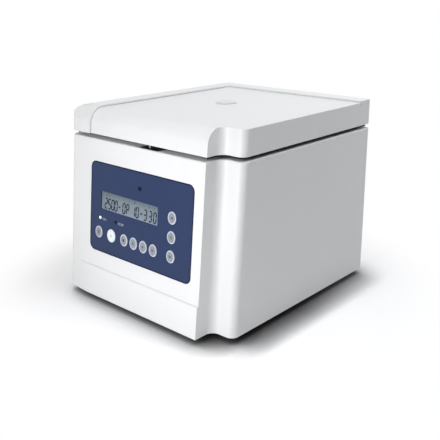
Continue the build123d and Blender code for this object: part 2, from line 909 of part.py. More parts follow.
def make_lock_case():
    # black box under the deck; its mouth fills the notch in the deck's rim
    high = deck_under
    low = lock_low
    front = front_at(deck_top) + casing_wall + lock_clearance
    half = lock_width / 2
    body = block(latch_x - half, latch_x + half, front, front + lock_length, low, high)
    mouth = extrude(Pos(0, 0, high - 1) * latch_mouth(0.2), amount=casing_wall - 0.4)
    case = body + mouth
    slot_x = hook_thickness / 2 + 1.5
    slot_y = hook_width / 2 + 3
    case -= block(
        latch_x - slot_x, latch_x + slot_x, hook_y - slot_y, hook_y + slot_y,
        low + lock_floor, deck_top + 1,
    )
    case -= along_x(latch_x - slot_x - 4, latch_x + half + 1, hook_y, bolt_z, bolt_radius + bolt_clearance)
    return case


def make_bolt():
    tip = latch_x + hook_thickness / 2 + 2
    bolt = along_x(tip, latch_x + lock_width / 2 + solenoid_length - 2, hook_y, bolt_z, bolt_radius)
    return chamfer(bolt.edges().sort_by(Axis.X)[0], 0.6)


def make_solenoid():
    low = latch_x + lock_width / 2
    high = low + solenoid_length
    half = solenoid_radius + 0.5
    coil = along_x(low + solenoid_plate, high - solenoid_plate, hook_y, bolt_z, solenoid_radius)
    for end in (low, high - solenoid_plate):
        coil += block(
            end, end + solenoid_plate, hook_y - half, hook_y + half,
            bolt_z - half, bolt_z + solenoid_radius,
        )
    return coil - along_x(low - 1, high + 1, hook_y, bolt_z, bolt_radius + bolt_clearance)


# Controls

key_row = [key_row_start + key_wide_pitch * step for step in range(3)]
key_row += [key_row[2] + key_narrow_pitch * (step + 1) for step in range(3)]
key_spots = [("key_row_%d" % (number + 1), x, key_row_height) for number, x in enumerate(key_row)]
key_spots += [
    ("key_column_%d" % (number + 1), key_column_x, key_row_height + key_column_pitch * (2 - number))
    for number in range(3)
]
start_key = "key_row_2"


def key_size(name):
    if name == start_key:
        return start_key_width / 2, start_key_length / 2
    return key_width / 2, key_length / 2


def display_area(grow):
    return RectangleRounded(display_width + 2 * grow, display_length + 2 * grow, 1.5 + grow)


def make_fascia():
    plane = front_plane(fascia_x, fascia_middle)
    outline = RectangleRounded(fascia_width - 0.4, fascia_length - 0.4, fascia_radius - 0.2)
    panel = front_slab(plane, outline, -fascia_thickness, 0)
    through = fascia_thickness + 1
    panel -= front_slab(front_plane(display_x, display_middle), display_area(0), -through, 1)
    for name, x, height in key_spots:
        half_x, half_y = key_size(name)
        hole = Ellipse(half_x + key_clearance, half_y + key_clearance)
        panel -= front_slab(front_plane(x, height), hole, -through, 1)
    for x in (run_lamp_x, stop_lamp_x):
        panel -= front_slab(front_plane(x, lamp_height), Circle(lamp_radius + 0.1), -through, 1)
    panel -= front_slab(front_plane(sensor_x, sensor_height), Circle(sensor_radius), -through, 1)
    return panel


def make_key(name, x, height):
    plane = front_plane(x, height)
    half_x, half_y = key_size(name)
    cap = front_slab(plane, Ellipse(half_x, half_y), -fascia_thickness - key_flange_thickness, key_proud)
    crown = cap.faces().sort_by(Axis(plane.origin, plane.z_dir))[-1]
    cap = fillet(crown.edges(), 0.5)
    flange_front = -fascia_thickness - 0.3
    flange_back = flange_front - key_flange_thickness
    flange = front_slab(plane, Ellipse(half_x + key_flange, half_y + key_flange), flange_back, flange_front)
    stem_back = board_front + switch_height + key_travel + 0.15
    stem = front_slab(plane, Circle(key_stem_radius), stem_back, flange_back)
    return cap + flange + stem


def make_lamps():
    lamps = []
    for x in (run_lamp_x, stop_lamp_x):
        plane = front_plane(x, lamp_height)
        lamp = front_slab(plane, Circle(lamp_radius), board_front, 0.3)
        lamps.append(lamp + front_slab(plane, Circle(lamp_radius + 0.6), board_front, board_front + 4))
    return lamps


def make_display():
    # the module fills the fascia's window opening from behind
    plane = front_plane(display_x, display_middle)
    glass = front_slab(plane, display_area(-0.15), -fascia_thickness - 0.3, -window_thickness - 0.3)
    frame = front_slab(
        plane, display_area(display_border), -fascia_thickness - display_depth, -fascia_thickness - 0.3,
    )
    pins_low = -fascia_thickness - display_depth
    header = front_slab(plane, Rectangle(display_width * 0.7, 3), board_front, pins_low)
    return glass + frame + header


def make_window():
    plane = front_plane(display_x, display_middle)
    return front_slab(plane, display_area(-0.15), -window_thickness - 0.2, -0.2)


# The board hangs on the fascia's back and reaches from its foot to above the display
board_low = fascia_middle - (fascia_length / 2 - fascia_ledge - board_inset) * cos(lean_angle)
board_high = display_middle + (display_length / 2 + display_border) * cos(lean_angle) + board_rise
board_middle = (board_low + board_high) / 2
board_width = fascia_width - 2 * (fascia_ledge + board_inset)
board_length = (board_high - board_low) / cos(lean_angle)
standoff_x = board_width / 2 - standoff_inset
standoff_y = board_length / 2 - standoff_inset
standoff_spots = [(x, y) for x in (-standoff_x, standoff_x) for y in (-standoff_y, standoff_y)]

# Components on the board's back, in shares of its half width and half length: x, y, width, length, height
chip_blocks = [
    (-0.64, -0.42, 18, 18, 3), (-0.22, -0.42, 12, 26, 4), (0.32, -0.2, 30, 14, 6), (0.55, 0.25, 12, 34, 9),
    (-0.64, 0.45, 26, 10, 5),
]


def make_control_board():
    plane = front_plane(fascia_x, board_middle)
    rear = board_front - board_thickness
    board = front_slab(plane, RectangleRounded(board_width, board_length, 3), rear, board_front)
    for _, x, height in key_spots:
        switch = Rectangle(switch_width, switch_width)
        board += front_slab(front_plane(x, height), switch, board_front - 0.2, board_front + switch_height)
    for x, y, width, length, height in chip_blocks:
        spot = Pos(x * board_width / 2, y * board_length / 2)
        board += front_slab(plane, spot * Rectangle(width, length), rear - height, rear)
    for x, y in standoff_spots:
        board -= front_slab(plane, Pos(x, y) * Circle(stud_radius + 0.1), rear - 1, board_front + 1)
    return board


def make_standoffs():
    plane = front_plane(fascia_x, board_middle)
    rear = board_front - board_thickness
    posts = []
    for x, y in standoff_spots:
        spot = Pos(x, y)
        post = front_slab(plane, spot * RegularPolygon(standoff_radius, 6), board_front, -fascia_thickness)
        stud = front_slab(plane, spot * Circle(stud_radius), rear, board_front)
        head = front_slab(plane, spot * Circle(stud_head_radius), rear - screw_head_height, rear)
        posts.append(post + stud + head)
    return posts


# Power parts

def make_power_board():
    # board on spacers with transformer, capacitors and a finned heat sink
    x_low = -half_width + casing_wall + power_board_gap
    x_high = x_low + power_board_width
    y_low, y_high = axis_y - power_board_depth / 2, axis_y + power_board_depth / 2
    low = casing_low + plate_thickness
    top = low + power_board_lift
    board = block(x_low, x_high, y_low, y_high, top, top + board_thickness)
    for x in (x_low + power_post_inset, x_high - power_post_inset):
        for y in (y_low + power_post_inset, y_high - power_post_inset):
            board += upright_cylinder(x, y, power_post_radius, low, top + 0.1)
    face = top + board_thickness
    near, left = y_low + transformer_setback, x_low + transformer_inset
    board += block(
        left, left + transformer_width, near, near + transformer_depth,
        face - 0.1, face + transformer_height,
    )
    for step in range(capacitor_count):
        y = y_low + capacitor_setback + step * capacitor_pitch
        top = face + capacitor_height
        board += upright_cylinder(x_low + capacitor_inset, y, capacitor_radius, face - 0.1, top)
    near, left = y_low + sink_setback, x_low + sink_inset
    board += block(left, left + sink_width, near, near + sink_length, face - 0.1, face + sink_base)
    pitch = (sink_length - fin_thickness) / fin_count
    for fin in range(fin_count):
        y = near + (fin + 0.5) * pitch
        root = face + sink_base - 0.1
        board += block(left, left + sink_width, y, y + fin_thickness, root, face + sink_height)
    return board


def make_inlet():
    # three-pin appliance inlet: flange, shroud, cavity and three blades
    rear = recess_floor - inlet_depth
    body = block(
        inlet_x - inlet_width / 2, inlet_x + inlet_width / 2, rear, recess_floor,
        recess_middle - inlet_height / 2, recess_middle + inlet_height / 2,
    )
    flange = block(
        inlet_x - inlet_width / 2 - 5, inlet_x + inlet_width / 2 + 5, recess_floor, recess_floor + 2.5,
        recess_middle - inlet_height / 2 - 2, recess_middle + inlet_height / 2 + 2,
    )
    flange = fillet(flange.edges().filter_by(Axis.Y), 2.5)
    cavity_profile = Plane(
        origin=(inlet_x, recess_floor + 3, recess_middle), x_dir=(1, 0, 0), z_dir=(0, -1, 0)
    ) * RectangleRounded(24.4, 16.9, 3)
    inlet = body + flange - extrude(cavity_profile, amount=inlet_depth - 1)
    for x, z in ((0, 3.0), (-7.0, -1.0), (7.0, -1.0)):
        blade = block(
            inlet_x + x - 1, inlet_x + x + 1, rear + 2, recess_floor - 1,
            recess_middle + z - 2, recess_middle + z + 2,
        )
        inlet += blade
    return inlet


def make_fuse_drawer():
    turn = Rot(90, 0, 0)
    middle = recess_floor - fuse_depth / 2
    holder = Pos(fuse_x, middle, recess_middle) * turn * Cylinder(fuse_radius, fuse_depth)
    cap = Pos(fuse_x, recess_floor + 1.75, recess_middle) * turn * Cylinder(fuse_radius + 2, 3.5)
    half = fuse_radius - 1.5
    slot = block(
        fuse_x - half, fuse_x + half, recess_floor + 2.3, recess_floor + 4,
        recess_middle - 0.8, recess_middle + 0.8,
    )
    return holder + cap - slot


def make_rocker_frame():
    outer_x, outer_z = rocker_width / 2 + 1, rocker_height / 2 + 1
    frame = block(
        rocker_x - outer_x, rocker_x + outer_x, recess_floor - 16, recess_floor,
        recess_middle - outer_z, recess_middle + outer_z,
    )
    frame += block(
        rocker_x - outer_x - 2, rocker_x + outer_x + 2, recess_floor, recess_floor + 1.5,
        recess_middle - outer_z - 2, recess_middle + outer_z + 2,
    )
    frame -= block(
        rocker_x - rocker_width / 2, rocker_x + rocker_width / 2, recess_floor - 10, recess_floor + 3,
        recess_middle - rocker_height / 2, recess_middle + rocker_height / 2,
    )
    axle = along_x(rocker_x - outer_x - 0.2, rocker_x + outer_x + 0.2, recess_floor - 3, recess_middle, 1.3)
    return frame - axle


def make_rocker():
    # shallow V-shaped paddle on its axle, tilted to its off position
    reach = rocker_height / 2 - 1.2
    half = rocker_width / 2 - 0.3
    paddle = make_face(Polyline(
        (0, -reach, 4.6), (0, 0, 2.8), (0, reach, 4.6), (0, reach - 1.4, -1.0), (0, 0, -2.6),
        (0, -reach + 1.4, -1.0), close=True,
    ))
    body = extrude(Pos(-half, 0, 0) * paddle, amount=2 * half, dir=(1, 0, 0))
    axle = Rot(0, 90, 0) * Cylinder(1.25, rocker_width + 1.6)
    tilted = Rot(-90 + rocker_tilt, 0, 0) * (body + axle)
    return Pos(rocker_x, recess_floor - 3, recess_middle) * tilted


def make_grille():
    # louvred insert: a border with sloping slats
    half_x, half_z = grille_width / 2 - 0.2, grille_height / 2 - 0.2
    front = back - 0.4
    rear = back - casing_wall - 1.5
    middle = (recess_middle - half_z, recess_middle + half_z)
    grille = block(grille_x - half_x, grille_x + half_x, rear, front, *middle)
    inner_x, inner_z = half_x - grille_border, half_z - grille_border
    grille -= block(
        grille_x - inner_x, grille_x + inner_x, rear - 1, front + 1,
        recess_middle - inner_z, recess_middle + inner_z,
    )
    pitch = 2 * inner_z / grille_slats
    for slat in range(grille_slats):
        z = recess_middle - inner_z + (slat + 0.5) * pitch
        blade = make_face(Polyline(
            (0, rear, z + 0.9), (0, front, z - 1.7), (0, front, z - 0.4), (0, rear, z + 2.2), close=True,
        ))
        grille += extrude(Pos(grille_x - inner_x - 1, 0, 0) * blade, amount=2 * inner_x + 2, dir=(1, 0, 0))
    return grille


# Writing the parts

def write(name, shape):
    solids = shape if isinstance(shape, list) else shape.solids()
    solids = [solid for piece in solids for solid in piece.solids()]
    export_step(Compound(children=solids) if len(solids) > 1 else solids[0], "parts/%s.step" % name)


def main():
    os.makedirs("parts", exist_ok=True)
    write("housing", make_housing())
    write("base_plate", make_base_plate())
    for name, spot in zip(foot_names, foot_spots):
        write(name, make_foot(*spot))
    write("foot_screws", make_foot_screws())
    write("casing_screws", make_casing_screws())
    write("chamber_bowl", make_bowl())
    write("chamber_gasket", make_gasket())
    write("shaft_boot", make_boot())
    write("motor_plate", make_motor_plate())
    write("vibration_mounts", [make_mount(*spot) for spot in mount_spots])
    write("motor_posts", make_posts())
    write("motor", make_motor())
    write("motor_shaft", make_shaft())
    write("rotor_head", make_head())
    for number in range(well_count):
        write("tube_sleeve_%d" % (number + 1), make_sleeve(number))
    write("rotor_nut", make_nut())
    write("lid_shell", make_lid_shell())
    write("lid_liner", make_liner())
    write("liner_screws", make_liner_screws())
    write("sight_window", make_sight())
    for name, side in (("left", -1), ("right", 1)):
        write("hinge_bracket_" + name, make_bracket(side))
        write("hinge_leaf_" + name, make_leaf(side))
        write("hinge_pin_" + name, make_pin(side))
    write("latch_hook", make_hook())
    write("lock_case", make_lock_case())
    write("lock_bolt", make_bolt())
    write("lock_solenoid", make_solenoid())
    write("control_fascia", make_fascia())
    write("display_module", make_display())
    write("display_window", make_window())
    for spot in key_spots:
        write(spot[0], make_key(*spot))
    write("status_lamps", make_lamps())
    write("control_board", make_control_board())
    write("board_standoffs", make_standoffs())
    write("power_board", make_power_board())
    write("power_inlet", make_inlet())
    write("fuse_drawer", make_fuse_drawer())
    write("rocker_frame", make_rocker_frame())
    write("rocker", make_rocker())
    write("rear_grille", make_grille())


main()
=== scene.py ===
import json
import math
import bmesh
import bpy
from mathutils import Matrix, Vector
from mathutils.bvhtree import BVHTree

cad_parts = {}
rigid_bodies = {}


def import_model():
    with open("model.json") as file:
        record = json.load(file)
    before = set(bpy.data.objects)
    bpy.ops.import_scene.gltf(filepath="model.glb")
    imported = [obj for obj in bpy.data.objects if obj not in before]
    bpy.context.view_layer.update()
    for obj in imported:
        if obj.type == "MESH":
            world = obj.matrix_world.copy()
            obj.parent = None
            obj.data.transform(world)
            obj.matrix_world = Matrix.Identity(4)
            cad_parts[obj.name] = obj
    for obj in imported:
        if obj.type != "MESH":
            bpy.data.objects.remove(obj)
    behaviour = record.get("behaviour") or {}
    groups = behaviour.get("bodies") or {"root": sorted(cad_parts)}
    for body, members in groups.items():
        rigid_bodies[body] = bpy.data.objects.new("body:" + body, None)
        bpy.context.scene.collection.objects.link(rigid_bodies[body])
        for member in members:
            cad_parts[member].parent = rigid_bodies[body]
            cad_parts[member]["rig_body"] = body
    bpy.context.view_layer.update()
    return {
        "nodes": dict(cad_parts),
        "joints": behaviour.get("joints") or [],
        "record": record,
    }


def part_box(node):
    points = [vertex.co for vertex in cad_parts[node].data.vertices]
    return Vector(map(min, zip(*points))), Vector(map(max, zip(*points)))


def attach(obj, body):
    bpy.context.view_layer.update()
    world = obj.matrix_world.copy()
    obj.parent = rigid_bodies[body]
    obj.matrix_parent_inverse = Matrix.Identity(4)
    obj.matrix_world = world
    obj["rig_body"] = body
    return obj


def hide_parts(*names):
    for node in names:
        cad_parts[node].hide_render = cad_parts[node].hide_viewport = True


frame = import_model()
nodes = frame["nodes"]
mm = 0.001
mergeReach = 0.005 * mm  # corners of a node's loose triangles that lie nearer than this are one corner
softAngle = 32  # degrees; edges that turn by less are shaded smooth
litKey = "key_row_2"  # the white key in the row


# Small helpers

def paint(red, green, blue):  # a screen colour, 0 to 255, as the linear colour that a shader takes
    def linear(value):
        value /= 255
        return value / 12.92 if value <= 0.04045 else ((value + 0.055) / 1.055) ** 2.4
    return (linear(red), linear(green), linear(blue), 1)


def link(piece):
    bpy.context.scene.collection.objects.link(piece)
    return piece


def meshPiece(name, mesh, material, body):
    piece = link(bpy.data.objects.new(name, mesh))
    mesh.materials.clear()
    mesh.materials.append(material)
    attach(piece, body)
    return piece


def bodyOf(node):
    return nodes[node]["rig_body"]


def finishedMesh(piece):  # the piece's mesh with its modifiers in it; the piece itself goes
    depsgraph = bpy.context.evaluated_depsgraph_get()
    mesh = bpy.data.meshes.new_from_object(piece.evaluated_get(depsgraph), depsgraph=depsgraph)
    bpy.data.objects.remove(piece)
    return mesh


def meshFrom(bm, name):  # closes the working mesh and keeps its shape
    mesh = bpy.data.meshes.new(name)
    bm.to_mesh(mesh)
    bm.free()
    return mesh


def shadeByAngle(mesh, degrees):
    mesh.shade_smooth()
    bm = bmesh.new()
    bm.from_mesh(mesh)
    for edge in bm.edges:
        edge.smooth = len(edge.link_faces) == 2 and edge.calc_face_angle(0) < math.radians(degrees)
    bm.to_mesh(mesh)
    bm.free()


def weightedMesh(mesh, degrees):  # flat faces stay flat and round ones run into them smoothly
    shadeByAngle(mesh, degrees)
    piece = link(bpy.data.objects.new("shading", mesh))
    normals = piece.modifiers.new("normals", "WEIGHTED_NORMAL")
    normals.keep_sharp = True
    normals.weight = 90
    return finishedMesh(piece)


def smoothCopy(node):  # the node's own shape, merged, with smooth shading across its rounds
    sliver = 0.002 * mm
    mesh = nodes[node].data.copy()
    bm = bmesh.new()
    bm.from_mesh(mesh)
    bmesh.ops.remove_doubles(bm, verts=bm.verts, dist=mergeReach)
    bmesh.ops.dissolve_degenerate(bm, edges=bm.edges, dist=sliver)
    bm.to_mesh(mesh)
    bm.free()
    if "custom_normal" in mesh.attributes:
        mesh.attributes.remove(mesh.attributes["custom_normal"])
    return weightedMesh(mesh, softAngle)


def dressNode(node, material):  # a smooth shell stands for the node
    name = node.replace("_", " ").title().replace(" ", "")
    piece = meshPiece(name[0].lower() + name[1:], smoothCopy(node), material, bodyOf(node))
    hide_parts(node)


def textMesh(words, height, depth):
    curve = bpy.data.curves.new("words", "FONT")
    curve.body = words
    curve.size = height
    curve.extrude = depth / 2
    curve.align_x = "CENTER"
    curve.align_y = "CENTER"
    curve.resolution_u = 3
    return finishedMesh(link(bpy.data.objects.new("words", curve)))


def joinMeshes(meshes):
    bm = bmesh.new()
    for mesh in meshes:
        bm.from_mesh(mesh)
    return meshFrom(bm, "joined")


def plateMesh(outline, thickness, bevel=0.0):  # a flat plate on local z = 0, its top edge bevelled
    bm = bmesh.new()
    face = bm.faces.new([bm.verts.new((x, y, 0)) for x, y in outline])
    raised = bmesh.ops.extrude_face_region(bm, geom=[face])["geom"]
    top = [part for part in raised if isinstance(part, bmesh.types.BMVert)]
    bmesh.ops.translate(bm, verts=top, vec=(0, 0, thickness))
    bmesh.ops.recalc_face_normals(bm, faces=bm.faces)
    if bevel:
        rim = [edge for edge in bm.edges if all(vertex.co.z > thickness / 2 for vertex in edge.verts)]
        bmesh.ops.bevel(bm, geom=rim, offset=bevel, segments=3, profile=0.5, affect="EDGES")
    mesh = meshFrom(bm, "plate")
    shadeByAngle(mesh, softAngle)
    return mesh


def oval(halfWidth, halfHeight, points=40):
    turns = [2 * math.pi * step / points for step in range(points)]
    return [(halfWidth * math.cos(turn), halfHeight * math.sin(turn)) for turn in turns]


def placed(mesh, matrix):
    mesh.transform(matrix)
    return mesh


def facing(across, up, out, spot):  # local x, y and z along three directions, with the origin at a spot
    matrix = Matrix((across, up, out)).transposed().to_4x4()
    matrix.translation = spot
    return matrix


# Helpers for node trees

def newTree(name, sizes):
    tree = bpy.data.node_groups.new(name, "GeometryNodeTree")
    tree.interface.new_socket("Geometry", in_out="INPUT", socket_type="NodeSocketGeometry")
    for size in sizes:
        tree.interface.new_socket(size, in_out="INPUT", socket_type="NodeSocketFloat")
    tree.interface.new_socket("Finish", in_out="INPUT", socket_type="NodeSocketMaterial")
    tree.interface.new_socket("Geometry", in_out="OUTPUT", socket_type="NodeSocketGeometry")
    return tree, tree.nodes.new("NodeGroupInput"), tree.nodes.new("NodeGroupOutput")


def treeNode(tree, kind, sockets=None, **values):  # a node with its settings, its links and its fixed inputs
    node = tree.nodes.new(kind)
    for name, value in values.items():
        setattr(node, name, value)
    for socket, source in (sockets or {}).items():
        if hasattr(source, "is_output"):
            tree.links.new(source, node.inputs[socket])
        else:
            node.inputs[socket].default_value = source
    return node


def scaledShape(tree, shape, scale):
    return treeNode(tree, "GeometryNodeTransform", {"Geometry": shape, "Scale": scale}).outputs[0]


def spreadOnPoints(tree, start, shape):  # one shape on each point, turned by the point's own turn
    turn = treeNode(tree, "GeometryNodeInputNamedAttribute", {"Name": "turn"}, data_type="FLOAT")
    spin = treeNode(tree, "ShaderNodeCombineXYZ", {"Z": turn.outputs["Attribute"]})
    return treeNode(tree, "GeometryNodeInstanceOnPoints", {
        "Points": start.outputs["Geometry"], "Instance": shape, "Rotation": spin.outputs[0],
    }).outputs[0]


def closeTree(tree, start, end, geometry):  # every tree ends in real geometry with its finish
    real = treeNode(tree, "GeometryNodeRealizeInstances", {0: geometry})
    painted = treeNode(tree, "GeometryNodeSetMaterial", {
        "Geometry": real.outputs[0], "Material": start.outputs["Finish"],
    })
    tree.links.new(painted.outputs[0], end.inputs[0])


def pointMesh(spots, turns):  # the points that a tree grows its shapes on
    mesh = bpy.data.meshes.new("spots")
    mesh.from_pydata([tuple(spot) for spot in spots], [], [])
    mesh.attributes.new("turn", "FLOAT", "POINT").data.foreach_set("value", turns)
    return mesh


def grow(tree, seedMesh, values):
    piece = link(bpy.data.objects.new("grown", seedMesh))
    modifier = piece.modifiers.new("grow", "NODES")
    modifier.node_group = tree
    for item in tree.interface.items_tree:
        if item.item_type == "SOCKET" and item.in_out == "INPUT" and item.name in values:
            modifier[item.identifier] = values[item.name]
    return finishedMesh(piece)


def mathNode(tree, operation, first, second):
    return treeNode(tree, "ShaderNodeMath", {0: first, 1: second}, operation=operation).outputs[0]


def mapRange(tree, value, fromRange=(0.0, 1.0), toRange=(0.0, 1.0), **values):
    return treeNode(tree, "ShaderNodeMapRange", {
        "Value": value, "From Min": fromRange[0], "From Max": fromRange[1],
        "To Min": toRange[0], "To Max": toRange[1],
    }, **values).outputs["Result"]


def mixColours(tree, share, first, second):
    return treeNode(tree, "ShaderNodeMix", {0: share, 6: first, 7: second}, data_type="RGBA").outputs[2]


def mixShaders(tree, share, first, second):
    return treeNode(tree, "ShaderNodeMixShader", {0: share, 1: first, 2: second}).outputs[0]


def objectPlace(tree):
    return treeNode(tree, "ShaderNodeTexCoord").outputs["Object"]


def axesOf(tree, place):  # the X, Y and Z of a place
    return treeNode(tree, "ShaderNodeSeparateXYZ", {0: place}).outputs


# Materials

def shaderOf(material):
    return material.node_tree.nodes["Principled BSDF"]


def surface(name, colour, roughness, metallic=0.0, **sockets):
    material = bpy.data.materials.new(name)
    material.use_nodes = True
    shader = shaderOf(material)
    shader.inputs["Base Color"].default_value = colour
    shader.inputs["Roughness"].default_value = roughness
    shader.inputs["Metallic"].default_value = metallic
    for socket, value in sockets.items():
        shader.inputs[socket.replace("_", " ")].default_value = value
    return material


def noise(tree, spot, scale, detail):
    sockets = {"Vector": spot, "Scale": scale, "Detail": detail}
    return treeNode(tree, "ShaderNodeTexNoise", sockets).outputs["Fac"]


def grained(name, finish):  # uneven gloss, a slow change of tone and a fine relief
    shared = {"fineDetail": 4, "slowScale": 12, "slowDetail": 2, "reliefDepth": 0.1 * mm}
    material = surface(
        name, paint(*finish["colour"]), finish["rough"], finish.get("metal", 0.0),
        Specular_IOR_Level=finish.get("specular", 0.5),
    )
    tree, shader = material.node_tree, shaderOf(material)
    spot = treeNode(tree, "ShaderNodeMapping", {
        "Vector": objectPlace(tree), "Scale": finish.get("stretch", (1, 1, 1)),
    }).outputs["Vector"]
    fine = noise(tree, spot, finish["scale"], shared["fineDetail"])
    slow = noise(tree, spot, shared["slowScale"], shared["slowDetail"])
    base = shader.inputs["Base Color"].default_value
    lighter = [min(c * (1 + finish["tone"]), 1) for c in base[:3]] + [1]
    darker = [c * (1 - finish["tone"]) for c in base[:3]] + [1]
    relief = treeNode(tree, "ShaderNodeBump", {
        "Height": fine, "Strength": finish["relief"], "Distance": shared["reliefDepth"],
    })
    tree.links.new(mapRange(tree, fine, toRange=finish["gloss"]), shader.inputs["Roughness"])
    tree.links.new(mixColours(tree, slow, lighter, darker), shader.inputs["Base Color"])
    tree.links.new(relief.outputs["Normal"], shader.inputs["Normal"])
    return material


# inner corners are painted a little darker, as painted shade where nearby surfaces keep the light out, but
# not at the back, where they catch the light
def addCreases(material, crease):
    tree, shader = material.node_tree, shaderOf(material)
    around = treeNode(tree, "ShaderNodeAmbientOcclusion", {"Distance": crease["reach"]}, samples=8)
    exposed = mapRange(tree, around.outputs["AO"], crease["openness"])
    faded = mapRange(tree, axesOf(tree, objectPlace(tree))["Y"], crease["fadeY"])
    unshaded = mathNode(tree, "MAXIMUM", exposed, faded)
    plain = shader.inputs["Base Color"].links[0].from_socket
    tree.links.new(mixColours(tree, unshaded, paint(*crease["colour"]), plain), shader.inputs["Base Color"])
    return material


def whitePlastic(name):
    return grained(name, {
        "colour": (232, 233, 234), "rough": 0.34, "specular": 0.42,
        "scale": 1400, "gloss": (0.30, 0.40), "relief": 0.05, "tone": 0.012,
    })


def lidPlastic():
    # the colour and reach of the painted shade in the lid's inner corners
    crease = {
        "colour": (156, 158, 162), "reach": 2.2 * mm, "openness": (0.42, 0.88),
        "fadeY": (120 * mm, 130 * mm),
    }
    return addCreases(whitePlastic("lidWhite"), crease)


def linerPlastic():
    return grained("linerWhite", {
        "colour": (214, 216, 218), "rough": 0.55,
        "scale": 900, "gloss": (0.5, 0.62), "relief": 0.18, "tone": 0.015,
    })


def blackPlastic():
    return grained("plasticBlack", {
        "colour": (24, 24, 26), "rough": 0.5,
        "scale": 1800, "gloss": (0.42, 0.58), "relief": 0.25, "tone": 0.08,
    })


def rubber():
    return grained("rubberBlack", {
        "colour": (26, 26, 27), "rough": 0.8, "specular": 0.3,
        "scale": 1200, "gloss": (0.72, 0.86), "relief": 0.3, "tone": 0.12,
    })


def gasketRubber():
    return grained("gasketGrey", {
        "colour": (74, 76, 79), "rough": 0.72, "specular": 0.35,
        "scale": 1100, "gloss": (0.66, 0.8), "relief": 0.2, "tone": 0.08,
    })


def fasciaFilm():
    return grained("fasciaBlue", {
        "colour": (28, 47, 86), "rough": 0.42, "specular": 0.3,
        "scale": 2600, "gloss": (0.36, 0.46), "relief": 0.08, "tone": 0.03,
    })


def spunSteel(centre):  # fine rings about the spinning axis, as a lathe leaves them
    finish = {
        "colour": (220, 222, 225), "rough": 0.35, "metal": 0.72, "gloss": (0.3, 0.42),
        "rings": 2200.0, "uneven": 0.4, "relief": 0.1, "depth": 0.02 * mm,
    }
    material = surface("bowlSteel", paint(*finish["colour"]), finish["rough"], finish["metal"])
    tree, shader = material.node_tree, shaderOf(material)
    centred = treeNode(tree, "ShaderNodeMapping", {
        "Vector": objectPlace(tree), "Location": (-centre[0], -centre[1], 0),
    }).outputs["Vector"]
    rings = treeNode(tree, "ShaderNodeTexWave", {
        "Vector": centred, "Scale": finish["rings"] / (2 * math.pi), "Distortion": finish["uneven"],
    }, wave_type="RINGS", rings_direction="Z").outputs["Fac"]
    relief = treeNode(tree, "ShaderNodeBump", {
        "Height": rings, "Strength": finish["relief"], "Distance": finish["depth"],
    })
    tree.links.new(mapRange(tree, rings, toRange=finish["gloss"]), shader.inputs["Roughness"])
    tree.links.new(relief.outputs["Normal"], shader.inputs["Normal"])
    return material


def platedSteel(name, colour):
    return grained(name, {
        "colour": colour, "rough": 0.34, "metal": 1.0,
        "scale": 700, "gloss": (0.26, 0.42), "relief": 0.1, "tone": 0.05, "stretch": (1, 6, 1),
    })


def satinAlloy():
    return grained("rotorAlloy", {
        "colour": (146, 149, 155), "rough": 0.4, "metal": 0.65,
        "scale": 2200, "gloss": (0.34, 0.46), "relief": 0.12, "tone": 0.03,
    })


def plainFinish(name, colour, rough, metal=0.0, specular=0.5):  # small parts need little unevenness
    spread = 0.06
    return grained(name, {
        "colour": colour, "rough": rough, "metal": metal, "specular": specular,
        "scale": 1500, "gloss": (rough - spread, rough + spread), "relief": 0.08, "tone": 0.03,
    })


def litLens():
    look = {"colour": (255, 255, 255), "rough": 0.3, "glow": 0.6}
    material = plainFinish("lampLit", look["colour"], look["rough"])
    shader = shaderOf(material)
    shader.inputs["Emission Color"].default_value = paint(*look["colour"])
    shader.inputs["Emission Strength"].default_value = look["glow"]
    return material


def clearWindow():
    look = {
        "colour": (20, 26, 34), "rough": 0.06, "alpha": 0.08, "bend": 1.49, "hazeScale": 60, "hazeDetail": 2,
        "gloss": (0.04, 0.12),
    }
    material = surface(
        "windowClear", paint(*look["colour"]), look["rough"], Alpha=look["alpha"], IOR=look["bend"],
    )
    tree = material.node_tree
    haze = noise(tree, objectPlace(tree), look["hazeScale"], look["hazeDetail"])
    tree.links.new(mapRange(tree, haze, toRange=look["gloss"]), shaderOf(material).inputs["Roughness"])
    return material


def displayGlass(low, high):  # grey-blue, darker along its top and at its left end: painted shade where the backlight falls off
    finish = {
        "low": (158, 172, 194), "middle": (140, 156, 170), "high": (104, 120, 131),
        "middleSpan": (0.3, 0.62), "leftDark": 0.45, "leftShare": 0.2, "gloss": 0.3,
    }
    material = surface("displayGlass", paint(*finish["middle"]), finish["gloss"])
    tree = material.node_tree
    axes = axesOf(tree, objectPlace(tree))
    ramp = treeNode(tree, "ShaderNodeValToRGB", {"Fac": mapRange(tree, axes["Z"], (low.z, high.z))})
    ramp.color_ramp.elements[0].color = paint(*finish["low"])
    ramp.color_ramp.elements[1].color = paint(*finish["high"])
    for spot in finish["middleSpan"]:
        ramp.color_ramp.elements.new(spot).color = paint(*finish["middle"])
    leftEnd = low.x + (high.x - low.x) * finish["leftShare"]
    left = mapRange(tree, axes["X"], (low.x, leftEnd), (finish["leftDark"], 0.0))
    tone = mixColours(tree, left, ramp.outputs["Color"], paint(*finish["high"]))
    tree.links.new(tone, shaderOf(material).inputs["Base Color"])
    return material


